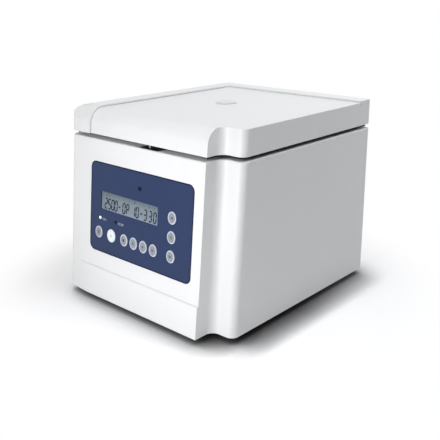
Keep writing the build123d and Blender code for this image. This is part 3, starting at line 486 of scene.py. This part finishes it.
axisSpot = next(Vector(joint["pos_m"]) for joint in frame["joints"] if joint["name"] == "head_spin")
white = whitePlastic("casingWhite")
lidWhite = lidPlastic()
liner = linerPlastic()
black = blackPlastic()
feetRubber = rubber()
sealRubber = gasketRubber()
film = fasciaFilm()
bowlSteel = spunSteel(axisSpot)
steel = platedSteel("steelPart", (150, 151, 154))
sheetSteel = platedSteel("steelSheet", (168, 170, 172))
alloy = satinAlloy()
brass = plainFinish("brassPart", (190, 152, 84), 0.32, metal=1.0)
board = plainFinish("boardGreen", (22, 84, 54), 0.45)
motorPaint = plainFinish("motorPaint", (34, 34, 37), 0.42)
sleeve = plainFinish("sleevePlastic", (190, 193, 198), 0.4)
nutPlastic = plainFinish("nutBlack", (30, 30, 32), 0.5)
rockerPlastic = plainFinish("rockerBlack", (20, 20, 22), 0.28)
frosted = plainFinish("sightFrosted", (220, 222, 224), 0.36, specular=0.45)
keyRing = plainFinish("keyPale", (198, 204, 217), 0.42)
keyWhite = plainFinish("keyWhite", (229, 236, 238), 0.4)
keyFace = plainFinish("keyFace", (139, 144, 154), 0.5)
ink = plainFinish("inkDark", (56, 60, 68), 0.6, specular=0.2)
faintInk = plainFinish("inkFaint", (196, 202, 206), 0.6)
paleInk = plainFinish("inkPale", (176, 182, 202), 0.6)
# a dark navy ring of painted shade along the fascia's edge, standing in for the shadow of the gap round it
gapShadeFinish = plainFinish("inkBorder", (14, 20, 48), 0.5, specular=0.1)
lensRim = plainFinish("lensRim", (24, 34, 66), 0.35, specular=0.2)
lensDark = plainFinish("lensDark", (4, 8, 20), 0.3, specular=0.1)
markFaint = plainFinish("markFaint", (80, 92, 104), 0.5, specular=0.2)
markWhite = plainFinish("markWhite", (214, 215, 216), 0.5)
segmentInk = plainFinish("segmentDark", (8, 12, 20), 0.5, specular=0.15)
lampLit = litLens()
lampDark = plainFinish("lampDark", (8, 11, 26), 0.4, specular=0.1)
window = clearWindow()
print("Materials")


# Casing, lid and the other large shells

def dressShells():
    shells = {
        "housing": (white, "casing_white"),
        "lid_shell": (lidWhite, "casing_white"),
        "lid_liner": (liner, "liner_white"),
        "chamber_bowl": (bowlSteel, "steel_bright"),
        "chamber_gasket": (sealRubber, "gasket_grey"),
        "shaft_boot": (feetRubber, "rubber_black"),
        "motor": (motorPaint, "motor_paint"),
        "motor_shaft": (steel, "steel_part"),
        "rotor_head": (alloy, "rotor_alloy"),
        "rotor_nut": (nutPlastic, "nut_black"),
        "sight_window": (frosted, "sight_clear"),
        "lock_case": (black, "plastic_black"),
        "latch_hook": (steel, "steel_part"),
        "lock_bolt": (steel, "steel_part"),
        "power_inlet": (black, "plastic_black"),
        "fuse_drawer": (black, "plastic_black"),
        "rocker_frame": (black, "plastic_black"),
        "rocker": (rockerPlastic, "rocker_black"),
        "rear_grille": (black, "plastic_black"),
        "control_fascia": (film, "fascia_blue"),
    }
    for node in nodes:
        if node.startswith("tube_sleeve"):
            shells[node] = (sleeve, "sleeve_plastic")
        if node.startswith("foot_") and node != "foot_screws":
            shells[node] = (feetRubber, "rubber_black")
        if node.startswith("hinge_"):
            shells[node] = (steel, "steel_part")
        if node.startswith("key_"):
            shells[node] = (keyWhite, "key_lit") if node == litKey else (keyRing, "key_grey")
    for node, (material, slot) in shells.items():
        dressNode(node, material)
    return set(shells)


def paintKeptNodes(dressed):  # inner nodes keep their own mesh and get a finish
    kept = {
        "base_plate": sheetSteel,
        "foot_screws": steel,
        "casing_screws": steel,
        "liner_screws": steel,
        "motor_plate": steel,
        "vibration_mounts": feetRubber,
        "motor_posts": steel,
        "lock_solenoid": motorPaint,
        "display_module": displayGlass(*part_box("display_window")),
        "display_window": window,
        "status_lamps": lampDark,
        "control_board": board,
        "board_standoffs": brass,
        "power_board": board,
    }
    for node, piece in nodes.items():
        if node in dressed:
            continue
        piece.data.materials.clear()
        piece.data.materials.append(kept[node])


paintKeptNodes(dressShells())
print("Shells and finishes")


# The control front: a plane that everything printed or set in it follows

frontAcross = Vector((1, 0, 0))
frontOut = -Vector(next(joint["axis"] for joint in frame["joints"] if joint["name"] == "row_1_key_press"))
frontUp = frontOut.cross(frontAcross)


def reachOut(node):
    return max(vertex.co.dot(frontOut) for vertex in nodes[node].data.vertices)


def slopeSpan(node):  # lowest and highest point, measured up the slope
    along = [vertex.co.dot(frontUp) for vertex in nodes[node].data.vertices]
    return min(along), max(along)


def frontMatrix(x, up, out):  # local x across, local y up the slope, local z outwards
    return facing(frontAcross, frontUp, frontOut, frontAcross * x + frontUp * up + frontOut * out)


def frontCentre(node):  # a node's middle and half size, across and up the slope
    low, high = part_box(node)
    foot, top = slopeSpan(node)
    return (low.x + high.x) / 2, (foot + top) / 2, (high.x - low.x) / 2, (top - foot) / 2


fasciaFace = reachOut("control_fascia")
keyFlange = 1.1 * mm  # hidden rim of each key, behind the fascia


# Signs on the keys, as outlines in shares of the key face's half width

def bar(x, y, halfX, halfY):
    return [(x - halfX, y - halfY), (x + halfX, y - halfY), (x + halfX, y + halfY), (x - halfX, y + halfY)]


def arrow(x, y, size, turn):
    turns = [turn + step * 2 * math.pi / 3 for step in range(3)]
    return [(x + size * math.cos(corner), y + size * math.sin(corner)) for corner in turns]


keySigns = {
    "key_row_1": [bar(0, 0.45, 0.5, 0.1), bar(0, 0, 0.5, 0.1), bar(0, -0.45, 0.5, 0.1)],
    "key_row_2": [arrow(0.05, 0, 0.6, 0)],
    "key_row_3": [bar(0, 0, 0.42, 0.42)],
    "key_row_4": [arrow(0, 0, 0.5, math.pi / 2)],
    "key_row_5": [arrow(0, 0, 0.5, -math.pi / 2)],
    "key_row_6": [bar(-0.25, 0, 0.12, 0.45), bar(0.25, 0, 0.12, 0.45)],
    "key_column_1": [arrow(-0.1, 0, 0.45, math.pi), bar(0.45, 0, 0.1, 0.45)],
    "key_column_2": [bar(0, 0.3, 0.5, 0.1), bar(0, -0.3, 0.5, 0.1)],
    "key_column_3": [arrow(0.1, 0, 0.45, 0), bar(-0.45, 0, 0.1, 0.45)],
}


def makeKeyFaces():
    look = {
        "widthShare": 0.78, "heightShare": 0.8112, "faceHeight": 0.12 * mm, "faceBevel": 0.05 * mm,
        "signShare": 0.713, "signHeight": 0.08 * mm,
    }
    for node, signs in keySigns.items():
        x, up, halfX, halfY = frontCentre(node)
        out = reachOut(node)
        faceX, faceY = (halfX - keyFlange) * look["widthShare"], (halfY - keyFlange) * look["heightShare"]
        face = plateMesh(oval(faceX, faceY), look["faceHeight"], look["faceBevel"])
        reach = faceX * look["signShare"]
        shapes = [[(px * reach, py * reach) for px, py in sign] for sign in signs]
        sign = joinMeshes([plateMesh(shape, look["signHeight"]) for shape in shapes])
        placed(face, frontMatrix(x, up, out))
        placed(sign, frontMatrix(x, up, out + look["faceHeight"]))
        number = node.replace("key_", "").replace("_", "")
        faceFinish, signFinish, slot = keyFace, ink, "key_grey"
        if node == litKey:
            faceFinish, signFinish, slot = keyWhite, faintInk, "key_lit"
        meshPiece("keyFace." + number, face, faceFinish, bodyOf(node))
        meshPiece("keySign." + number, sign, signFinish, bodyOf(node))


# Display digits: seven-segment signs grown from one point for each lit bar

glyphBars = {
    "0": "abcdef", "1": "bc", "2": "abged", "3": "abgcd", "4": "fgbc", "5": "afgcd", "6": "afgedc",
    "7": "abc", "8": "abcdefg", "9": "abcdfg", "P": "abefg", "-": "g",
}
# middle of each bar in shares of the digit's half width and half height, and whether it stands upright
barSpots = {
    "a": (0, 1, False), "g": (0, 0, False), "d": (0, -1, False),
    "f": (-1, 0.5, True), "b": (1, 0.5, True), "e": (-1, -0.5, True), "c": (1, -0.5, True),
}


def barTree():
    tree, start, end = newTree("displayBars", ["Bar length", "Bar width", "Bar height"])
    rod = treeNode(tree, "GeometryNodeMeshCylinder", {"Vertices": 6, "Radius": 0.5, "Depth": 1.0})
    size = treeNode(tree, "ShaderNodeCombineXYZ", {
        "X": start.outputs["Bar length"], "Y": start.outputs["Bar width"], "Z": start.outputs["Bar height"],
    })
    scaled = scaledShape(tree, rod.outputs["Mesh"], size.outputs[0])
    closeTree(tree, start, end, spreadOnPoints(tree, start, scaled))
    return tree


def makeDisplayDigits():
    look = {
        "signs": [
            ("2", 0.088), ("5", 0.149), ("0", 0.211), ("0", 0.271), ("-", 0.332), ("0", 0.414),
            ("P", 0.480), ("1", 0.585), ("0", 0.649), ("-", 0.716), ("3", 0.786), ("3", 0.872),
            ("0", 0.948),
        ],
        "digitWidth": 4.4 * mm, "digitHeight": 13.0 * mm, "barWidth": 2.1 * mm, "barHeight": 0.04 * mm,
        "barSpare": 0.5 * mm, "lift": 0.37, "slant": 0.07,
    }
    x, up, halfX, halfY = frontCentre("display_window")
    out = reachOut("display_module")
    halfWide, halfTall = look["digitWidth"] / 2, look["digitHeight"] / 2
    levelBars, uprightBars = [], []
    for sign, share in look["signs"]:
        middle = (share - 0.5) * 2 * halfX
        base = (look["lift"] - 0.5) * 2 * halfY
        for name in glyphBars[sign]:
            sideways, rise, upright = barSpots[name]
            spot = (middle + sideways * halfWide, base + rise * halfTall, 0)
            (uprightBars if upright else levelBars).append(spot)
    meshes = []
    for spots, turn, reach in ((levelBars, 0, look["digitWidth"]), (uprightBars, math.pi / 2, halfTall)):
        meshes.append(grow(barTree(), pointMesh(spots, [turn] * len(spots)), {
            "Bar length": reach + look["barSpare"], "Bar width": look["barWidth"],
            "Bar height": look["barHeight"], "Finish": segmentInk,
        }))
    lean = Matrix.Identity(4)
    lean[0][1] = look["slant"]
    digits = placed(joinMeshes(meshes), frontMatrix(x, up, out + look["barHeight"] / 2) @ lean)
    meshPiece("displayDigits", digits, segmentInk, "casing")


def makeDisplayMarks():  # small plain marks along the display's top edge
    look = {
        "marks": [
            ("dot", 0.1, 0.86), ("dot", 0.14, 0.83), ("spot", 0.6, 0.84), ("dash", 0.76, 0.86),
            ("dot", 0.85, 0.84), ("dot", 0.93, 0.84),
        ],
        "dotRadius": 0.9 * mm, "spotRadius": 1.3 * mm, "height": 0.04 * mm,
        "dash": [(-1.5 * mm, -0.9 * mm), (-1.1 * mm, -1.1 * mm), (1.5 * mm, 0.9 * mm), (1.1 * mm, 1.1 * mm)],
    }
    outlines = {
        "dot": oval(look["dotRadius"], look["dotRadius"], points=16),
        "spot": oval(look["spotRadius"], look["spotRadius"], points=16),
        "dash": look["dash"],
    }
    x, up, halfX, halfY = frontCentre("display_window")
    plates = []
    for kind, share, rise in look["marks"]:
        cx, cy = (share - 0.5) * 2 * halfX, (rise - 0.5) * 2 * halfY
        plates.append(plateMesh([(cx + a, cy + b) for a, b in outlines[kind]], look["height"]))
    marks = placed(joinMeshes(plates), frontMatrix(x, up, reachOut("display_module")))
    meshPiece("displayMarks", marks, markFaint, "casing")


# Lamps and their words

def makeLamps():
    look = {
        "flange": 0.6 * mm, "lensShare": 1.1, "lensHeight": 0.35 * mm, "lensBevel": 0.2 * mm,
        "wordHeight": 4.6 * mm, "wordDepth": 0.06 * mm, "wordGap": 2.6 * mm, "wordDrop": 1.2 * mm,
    }
    low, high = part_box("status_lamps")
    foot, top = slopeSpan("status_lamps")
    up, out = (foot + top) / 2, reachOut("status_lamps")
    radius = (top - foot) / 2 - look["flange"]
    inset = radius + look["flange"]
    for word, x, finish in (("ON", low.x + inset, lampLit), ("STOP", high.x - inset, lampDark)):
        lensRadius = radius * look["lensShare"]
        outline = oval(lensRadius, lensRadius, points=32)
        lens = plateMesh(outline, look["lensHeight"], look["lensBevel"])
        placed(lens, frontMatrix(x, up, out))
        meshPiece("lampLens." + word.lower(), lens, finish, "casing")
        mesh = textMesh(word, look["wordHeight"], look["wordDepth"])
        width = max(v.co.x for v in mesh.vertices) - min(v.co.x for v in mesh.vertices)
        wordX = x + radius + look["wordGap"] + width / 2
        placed(mesh, frontMatrix(wordX, up - look["wordDrop"], fasciaFace + look["wordDepth"] / 2))
        meshPiece("lampWord." + word.lower(), mesh, paleInk, "casing")


# The fascia's edge, darkened by a ring of painted shade for the gap round it, and the lens of its sensor

def roundedBox(halfX, halfY, radius, steps=8):
    outline = []
    for corner, (cx, cy) in enumerate(((1, 1), (-1, 1), (-1, -1), (1, -1))):
        x, y = cx * (halfX - radius), cy * (halfY - radius)
        for step in range(steps + 1):
            turn = math.pi / 2 * (corner + step / steps)
            outline.append((x + radius * math.cos(turn), y + radius * math.sin(turn)))
    return outline


def ringMesh(outer, inner, thickness):  # a flat ring between two outlines with as many points
    levels = ((outer, 0), (outer, thickness), (inner, thickness), (inner, 0))
    bm = bmesh.new()
    rings = [[bm.verts.new((x, y, z)) for x, y in outline] for outline, z in levels]
    for one, other in zip(rings, rings[1:] + rings[:1]):
        for i in range(len(one)):
            j = (i + 1) % len(one)
            bm.faces.new((one[i], one[j], other[j], other[i]))
    bmesh.ops.recalc_face_normals(bm, faces=bm.faces)
    return meshFrom(bm, "ring")


def makeFasciaBorder():
    look = {"cornerRadius": 9 * mm, "width": 1.2 * mm, "inset": 0.15 * mm, "height": 0.05 * mm}
    x, up, halfX, halfY = frontCentre("control_fascia")
    outlines = []
    for inset in (0, look["width"]):
        sides = [half - look["inset"] - inset for half in (halfX, halfY)]
        outlines.append(roundedBox(*sides, look["cornerRadius"] - inset))
    # a thin dark ring along the fascia's edge: painted shade of its gap, not print
    gapShadeRing = placed(ringMesh(*outlines, look["height"]), frontMatrix(x, up, fasciaFace))
    meshPiece("fasciaBorder", gapShadeRing, gapShadeFinish, "casing")


def makeSensor():
    look = {
        "across": -0.4 * mm, "rise": 38.9 * mm, "rimRadius": 3.0 * mm, "rimHeight": 0.5 * mm,
        "lensRadius": 2.4 * mm, "lensShare": 0.98, "lensHeight": 0.3 * mm, "lensBevel": 0.2 * mm,
    }
    spot = frontMatrix(look["across"], frontCentre("control_fascia")[1] + look["rise"], fasciaFace)
    hole = oval(look["lensRadius"], look["lensRadius"])
    rim = ringMesh(oval(look["rimRadius"], look["rimRadius"]), hole, look["rimHeight"])
    meshPiece("sensorRim", placed(rim, spot), lensRim, "casing")
    lensRadius = look["lensRadius"] * look["lensShare"]
    lens = plateMesh(oval(lensRadius, lensRadius), look["lensHeight"], look["lensBevel"])
    meshPiece("sensorLens", placed(lens, spot), lensDark, "casing")


makeKeyFaces()
makeDisplayDigits()
makeDisplayMarks()
makeLamps()
makeFasciaBorder()
makeSensor()
print("Controls")


# Numbers beside the wells, on the head's top facets

def makeWellNumbers():
    look = {"height": 6.0 * mm, "depth": 0.12 * mm, "inward": 16.5 * mm, "sleeveRim": 2.0 * mm}
    wells = [mount for mount in frame["record"]["mounts"] if mount["name"].startswith("tube_well")]
    for number, mount in enumerate(wells, 1):
        mouth, out = Vector(mount["pos_m"]), Vector(mount["axis"])
        inward = Vector((axisSpot.x - mouth.x, axisSpot.y - mouth.y, 0)).normalized()
        downhill = (inward - out * inward.dot(out)).normalized()
        rimTop = max((v.co - mouth).dot(out) for v in nodes["tube_sleeve_%d" % number].data.vertices)
        lift = rimTop - look["sleeveRim"] + look["depth"] / 2
        matrix = facing(downhill.cross(out), -downhill, out, mouth + out * lift + downhill * look["inward"])
        mesh = placed(textMesh(str(number), look["height"], look["depth"]), matrix)
        meshPiece("wellNumber.%d" % number, mesh, ink, "spinning_head")


makeWellNumbers()


# Metal blades of the mains inlet, and the marks on the switch

def makeInletBlades():
    look = {
        "spots": ((0, 3 * mm), (-7 * mm, -1 * mm), (7 * mm, -1 * mm)),
        "thickness": 2.2 * mm, "height": 4.2 * mm, "frontGap": 3.4 * mm, "rearGap": 2.4 * mm,
        "bevel": 0.3 * mm,
    }
    low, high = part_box("power_inlet")
    middle = (low + high) / 2
    front, rear = high.y - look["frontGap"], low.y + look["rearGap"]
    bm = bmesh.new()
    for x, z in look["spots"]:
        blade = bmesh.ops.create_cube(bm, size=1)["verts"]
        bmesh.ops.scale(bm, verts=blade, vec=(look["thickness"], front - rear, look["height"]))
        bmesh.ops.translate(bm, verts=blade, vec=(middle.x + x, (front + rear) / 2, middle.z + z))
    bmesh.ops.bevel(bm, geom=list(bm.edges), offset=look["bevel"], segments=2, profile=0.5, affect="EDGES")
    meshPiece("inletBlades", meshFrom(bm, "blades"), brass, "casing")


def makeRockerMarks():  # a line for on and a ring for off, laid on the rocker's own face
    look = {
        "lineWidth": 0.7 * mm, "lineLength": 3.0 * mm, "ringOuter": 1.7 * mm, "ringInner": 1.1 * mm,
        "height": 0.06 * mm, "spread": 0.52, "castFrom": 20 * mm,
    }
    node = nodes["rocker"]
    skin = BVHTree.FromPolygons([v.co for v in node.data.vertices], [p.vertices for p in node.data.polygons])
    low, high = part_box("rocker")
    middle, reach = (low + high) / 2, (high.z - low.z) / 2 * look["spread"]
    outer, inner = oval(look["ringOuter"], look["ringOuter"]), oval(look["ringInner"], look["ringInner"])
    line = plateMesh(bar(0, 0, look["lineWidth"] / 2, look["lineLength"] / 2), look["height"])
    ring = ringMesh(outer, inner, look["height"])
    across = Vector((-1, 0, 0))
    for name, mesh, side in (("on", line, 1), ("off", ring, -1)):
        start = Vector((middle.x, high.y + look["castFrom"], middle.z + side * reach))
        spot, normal, _, _ = skin.ray_cast(start, Vector((0, -1, 0)))
        placed(mesh, facing(across, normal.cross(across), normal, spot))
        meshPiece("rockerMark." + name, mesh, markWhite, bodyOf("rocker"))


# Screws with a cross recess: one tree grows every set from the middles of its heads

def islandBoxes(mesh):  # the box of each separate solid in a mesh
    bm = bmesh.new()
    bm.from_mesh(mesh)
    bmesh.ops.remove_doubles(bm, verts=bm.verts, dist=mergeReach)
    reached, boxes = set(), []
    for first in bm.verts:  # in the mesh's own order, so that each run gives the same list
        if first in reached:
            continue
        reached.add(first)
        waiting, group = [first], []
        while waiting:
            vertex = waiting.pop()
            group.append(vertex.co.copy())
            for edge in vertex.link_edges:
                other = edge.other_vert(vertex)
                if other not in reached:
                    reached.add(other)
                    waiting.append(other)
        boxes.append([Vector([pick(co[i] for co in group) for i in range(3)]) for pick in (min, max)])
    bm.free()
    return boxes


def screwTree():
    sizes = ["Head radius", "Head height", "Slot length", "Slot width", "Slot depth"]
    tree, start, end = newTree("crossHeadScrews", sizes)
    ball = treeNode(tree, "GeometryNodeMeshUVSphere", {"Segments": 28, "Rings": 14, "Radius": 1.0})
    radius, height = start.outputs["Head radius"], start.outputs["Head height"]
    shape = treeNode(tree, "ShaderNodeCombineXYZ", {"X": radius, "Y": radius, "Z": height})
    dome = scaledShape(tree, ball.outputs["Mesh"], shape.outputs[0])
    below = treeNode(tree, "ShaderNodeCombineXYZ", {"Z": mathNode(tree, "MULTIPLY", height, -1.0)})
    deep = mathNode(tree, "MULTIPLY", start.outputs["Slot depth"], 2.0)
    cut = treeNode(tree, "GeometryNodeMeshBoolean", {0: dome}, operation="DIFFERENCE")
    for long, short in (("X", "Y"), ("Y", "X")):
        size = treeNode(tree, "ShaderNodeCombineXYZ", {
            long: start.outputs["Slot length"], short: start.outputs["Slot width"], "Z": deep,
        })
        block = treeNode(tree, "GeometryNodeMeshCube", {"Size": size.outputs[0]})
        seated = treeNode(tree, "GeometryNodeTransform", {
            "Geometry": block.outputs["Mesh"], "Translation": below.outputs[0],
        })
        tree.links.new(seated.outputs[0], cut.inputs[1])
    closeTree(tree, start, end, spreadOnPoints(tree, start, cut.outputs[0]))
    return tree


def makeScrews():
    look = {
        "names": {
            "liner_screws": "linerScrews", "casing_screws": "casingScrews", "foot_screws": "footScrews",
        },
        "headHeight": 1.6 * mm, "slotShare": 1.1, "slotWidth": 0.9 * mm, "slotDepth": 1.0 * mm,
        "turnStep": 0.7, "softAngle": 40,
    }
    height = look["headHeight"]
    for node, name in look["names"].items():
        boxes = islandBoxes(nodes[node].data)
        spots = [((low.x + high.x) / 2, (low.y + high.y) / 2, low.z + height) for low, high in boxes]
        turns = [look["turnStep"] * step for step in range(len(spots))]
        radius = (boxes[0][1].x - boxes[0][0].x) / 2
        mesh = grow(screwTree(), pointMesh(spots, turns), {
            "Head radius": radius, "Head height": height, "Slot length": radius * look["slotShare"],
            "Slot width": look["slotWidth"], "Slot depth": look["slotDepth"], "Finish": steel,
        })
        shadeByAngle(mesh, look["softAngle"])
        piece = meshPiece(name, mesh, steel, bodyOf(node))
        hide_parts(node)


# Dark rubber lip under the lid's rim; its black also stands in as painted shade for the dark line in the gap
# above the casing

def linerOutline(level):  # the liner's outer edge at one height, as points in order
    slack = 0.01 * mm
    steepest = 0.5  # a face whose normal rises less than this counts as a wall
    bm = bmesh.new()
    bm.from_mesh(nodes["lid_liner"].data)
    bmesh.ops.remove_doubles(bm, verts=bm.verts, dist=mergeReach)
    beside = {}
    for edge in bm.edges:
        onLevel = all(abs(vertex.co.z - level) < slack for vertex in edge.verts)
        if onLevel and any(abs(face.normal.z) < steepest for face in edge.link_faces):
            for vertex in edge.verts:
                beside.setdefault(vertex, []).append(edge.other_vert(vertex))
    start = max(beside, key=lambda vertex: vertex.co.x - vertex.co.y)
    loop, last, here = [], None, start
    while here is not start or not loop:
        loop.append(here.co.copy())
        last, here = here, next(vertex for vertex in beside[here] if vertex is not last)
    bm.free()
    area = sum(a.x * b.y - b.x * a.y for a, b in zip(loop, loop[1:] + loop[:1]))
    return loop if area > 0 else loop[::-1]


def inwardLoop(loop, inset):
    sharpest = 0.5  # keeps a sharp corner from moving further than twice the inset
    moved = []
    for before, point, after in zip(loop[-1:] + loop[:-1], loop, loop[1:] + loop[:1]):
        pairs = ((before, point), (point, after))
        sides = [Vector((a.y - b.y, b.x - a.x, 0)).normalized() for a, b in pairs]
        inward = (sides[0] + sides[1]).normalized()
        moved.append(point + inward * inset / max(inward.dot(sides[0]), sharpest))
    return moved


def makeLidLip():
    # the lip's reach sets how much of the gap under the lid it darkens in place of that shade
    look = {
        "inset": 1.2 * mm, "thickness": 1.3 * mm, "reach": 5.2 * mm, "rise": 2 * mm, "lockGap": 26 * mm,
        "softAngle": 40,
    }
    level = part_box("lid_shell")[0].z + look["rise"]
    loop = linerOutline(level)
    rings = []
    for inset, drop in ((0, 0), (0, 1), (1, 1), (1, 0)):
        ring = inwardLoop(loop, look["inset"] + inset * look["thickness"])
        rings.append([Vector((p.x, p.y, level - drop * look["reach"])) for p in ring])
    lockLow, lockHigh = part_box("lock_case")
    middle, front = (lockLow.x + lockHigh.x) / 2, lockHigh.y
    kept = []
    for one, other in zip(loop, loop[1:] + loop[:1]):
        spot = (one + other) / 2
        kept.append(spot.y >= front or abs(spot.x - middle) >= look["lockGap"])
    bm = bmesh.new()
    corners = [[bm.verts.new(p) for p in ring] for ring in rings]
    for i in range(len(loop)):
        j = (i + 1) % len(loop)
        if kept[i]:
            for one, other in zip(corners, corners[1:] + corners[:1]):
                bm.faces.new((one[i], one[j], other[j], other[i]))
            if not kept[i - 1]:
                bm.faces.new([corner[i] for corner in corners])
            if not kept[j]:
                bm.faces.new([corner[j] for corner in reversed(corners)])
    bmesh.ops.delete(bm, geom=[v for v in bm.verts if not v.link_faces], context="VERTS")
    bmesh.ops.recalc_face_normals(bm, faces=bm.faces)
    mesh = meshFrom(bm, "lip")
    shadeByAngle(mesh, look["softAngle"])
    meshPiece("lidLip", mesh, feetRubber, bodyOf("lid_shell"))


makeInletBlades()
makeRockerMarks()
makeScrews()
makeLidLip()
print("Small details")


# Stage, light and camera

def seenByCameraAndGloss(tree):  # 1 for rays that see the stage, 0 for those that only light the object
    rays = treeNode(tree, "ShaderNodeLightPath").outputs
    direct = mathNode(tree, "MAXIMUM", rays["Is Camera Ray"], rays["Is Glossy Ray"])
    return mathNode(tree, "MAXIMUM", direct, rays["Is Transmission Ray"])


def floorShade(tree, place):  # the floor is darkest close to the object, on the side away from the light
    look = {"reach": 0.045, "lookTo": (-0.6, -0.5, 0.62), "depth": (3.2, 1.0), "easeY": (0.0, 0.19)}
    towards = treeNode(tree, "ShaderNodeCombineXYZ", dict(zip("XYZ", look["lookTo"])))
    around = treeNode(tree, "ShaderNodeAmbientOcclusion", {
        "Distance": look["reach"], "Normal": towards.outputs[0],
    }, samples=16)
    depth = mapRange(tree, axesOf(tree, place)["Y"], look["easeY"], look["depth"])
    return mathNode(tree, "POWER", around.outputs["AO"], depth)


def floorMaterial():
    look = {"seen": (253, 253, 254), "rough": 0.9, "bounced": 0.86, "lift": 0.16, "fade": (0.2, 0.36)}
    material = surface("floorWhite", paint(*look["seen"]), look["rough"], Specular_IOR_Level=0.0)
    tree, shader = material.node_tree, shaderOf(material)
    seen = seenByCameraAndGloss(tree)
    place = objectPlace(tree)
    shaded = mixColours(tree, floorShade(tree, place), (0, 0, 0, 1), paint(*look["seen"]))
    # the camera sees a white floor, and what the floor throws back on the casing stays soft
    bounced = (look["bounced"],) * 3 + (1,)
    tree.links.new(mixColours(tree, seen, bounced, shaded), shader.inputs["Base Color"])
    tree.links.new(shaded, shader.inputs["Emission Color"])
    tree.links.new(mathNode(tree, "MULTIPLY", seen, look["lift"]), shader.inputs["Emission Strength"])
    # far from the object the floor turns into the plain white background
    distance = treeNode(tree, "ShaderNodeVectorMath", {0: place}, operation="LENGTH").outputs["Value"]
    fade = mapRange(tree, distance, look["fade"], interpolation_type="SMOOTHERSTEP")
    plain = treeNode(tree, "ShaderNodeEmission").outputs[0]
    mixed = mixShaders(tree, mathNode(tree, "MULTIPLY", fade, seen), shader.outputs[0], plain)
    tree.links.new(mixed, tree.nodes["Material Output"].inputs["Surface"])
    return material


def makeStage():
    floorSize = 6.0
    bpy.ops.mesh.primitive_plane_add(size=floorSize, location=(0, 0, 0))
    floor = bpy.context.object
    floor.name = "floor"
    floor.data.materials.append(floorMaterial())


def makeWorld():
    look = {"strength": 0.12}
    world = bpy.data.worlds.new("room")
    bpy.context.scene.world = world
    world.use_nodes = True
    tree = world.node_tree
    lit = tree.nodes["Background"]
    lit.inputs["Color"].default_value = (1, 1, 1, 1)
    lit.inputs["Strength"].default_value = look["strength"]
    shown = treeNode(tree, "ShaderNodeBackground", {"Color": (1, 1, 1, 1)})
    mixed = mixShaders(tree, seenByCameraAndGloss(tree), lit.outputs[0], shown.outputs[0])
    tree.links.new(mixed, tree.nodes["World Output"].inputs["Surface"])


def makeLights():
    lamps = {
        "lowFrontLamp": {"spot": (0.12, -0.57, 0.17), "size": 0.3, "power": 0.96, "colour": (1, 1, 1)},
        "highFrontLamp": {"spot": (0.08, -0.75, 0.45), "size": 0.3, "power": 1.84, "colour": (1, 1, 1)},
        "overheadLamp": {"spot": (-0.25, 0.1, 1.5), "size": 1.0, "power": 6.4, "colour": (1, 1, 1)},
        "rearLamp": {"spot": (0.5, 0.45, 1.2), "size": 0.8, "power": 7.4, "colour": (0.955, 0.975, 1.0)},
    }
    target = Vector((0, 0, 0.12))
    for name, lamp in lamps.items():
        data = bpy.data.lights.new(name, "AREA")
        data.shape = "SQUARE"
        data.size = lamp["size"]
        data.energy = lamp["power"]
        data.color = lamp["colour"]
        light = link(bpy.data.objects.new(name, data))
        light.location = lamp["spot"]
        light.rotation_euler = (target - light.location).to_track_quat("-Z", "Y").to_euler()


def makeCamera():
    shot = {
        "spot": (0.6133, -0.6893, 0.4088), "turn": 41.57, "down": 15.25, "lens": 56.14, "shift": -0.1,
        "nearest": 0.05,
    }
    data = bpy.data.cameras.new("camera")
    data.lens = shot["lens"]
    data.shift_y = shot["shift"]
    data.clip_start = shot["nearest"]
    camera = link(bpy.data.objects.new("camera", data))
    camera.location = shot["spot"]
    camera.rotation_euler = (math.radians(90 - shot["down"]), 0, math.radians(shot["turn"]))
    bpy.context.scene.camera = camera


makeStage()
makeWorld()
makeLights()
makeCamera()
bpy.context.scene.view_settings.view_transform = "Standard"
print("Stage, light and camera")
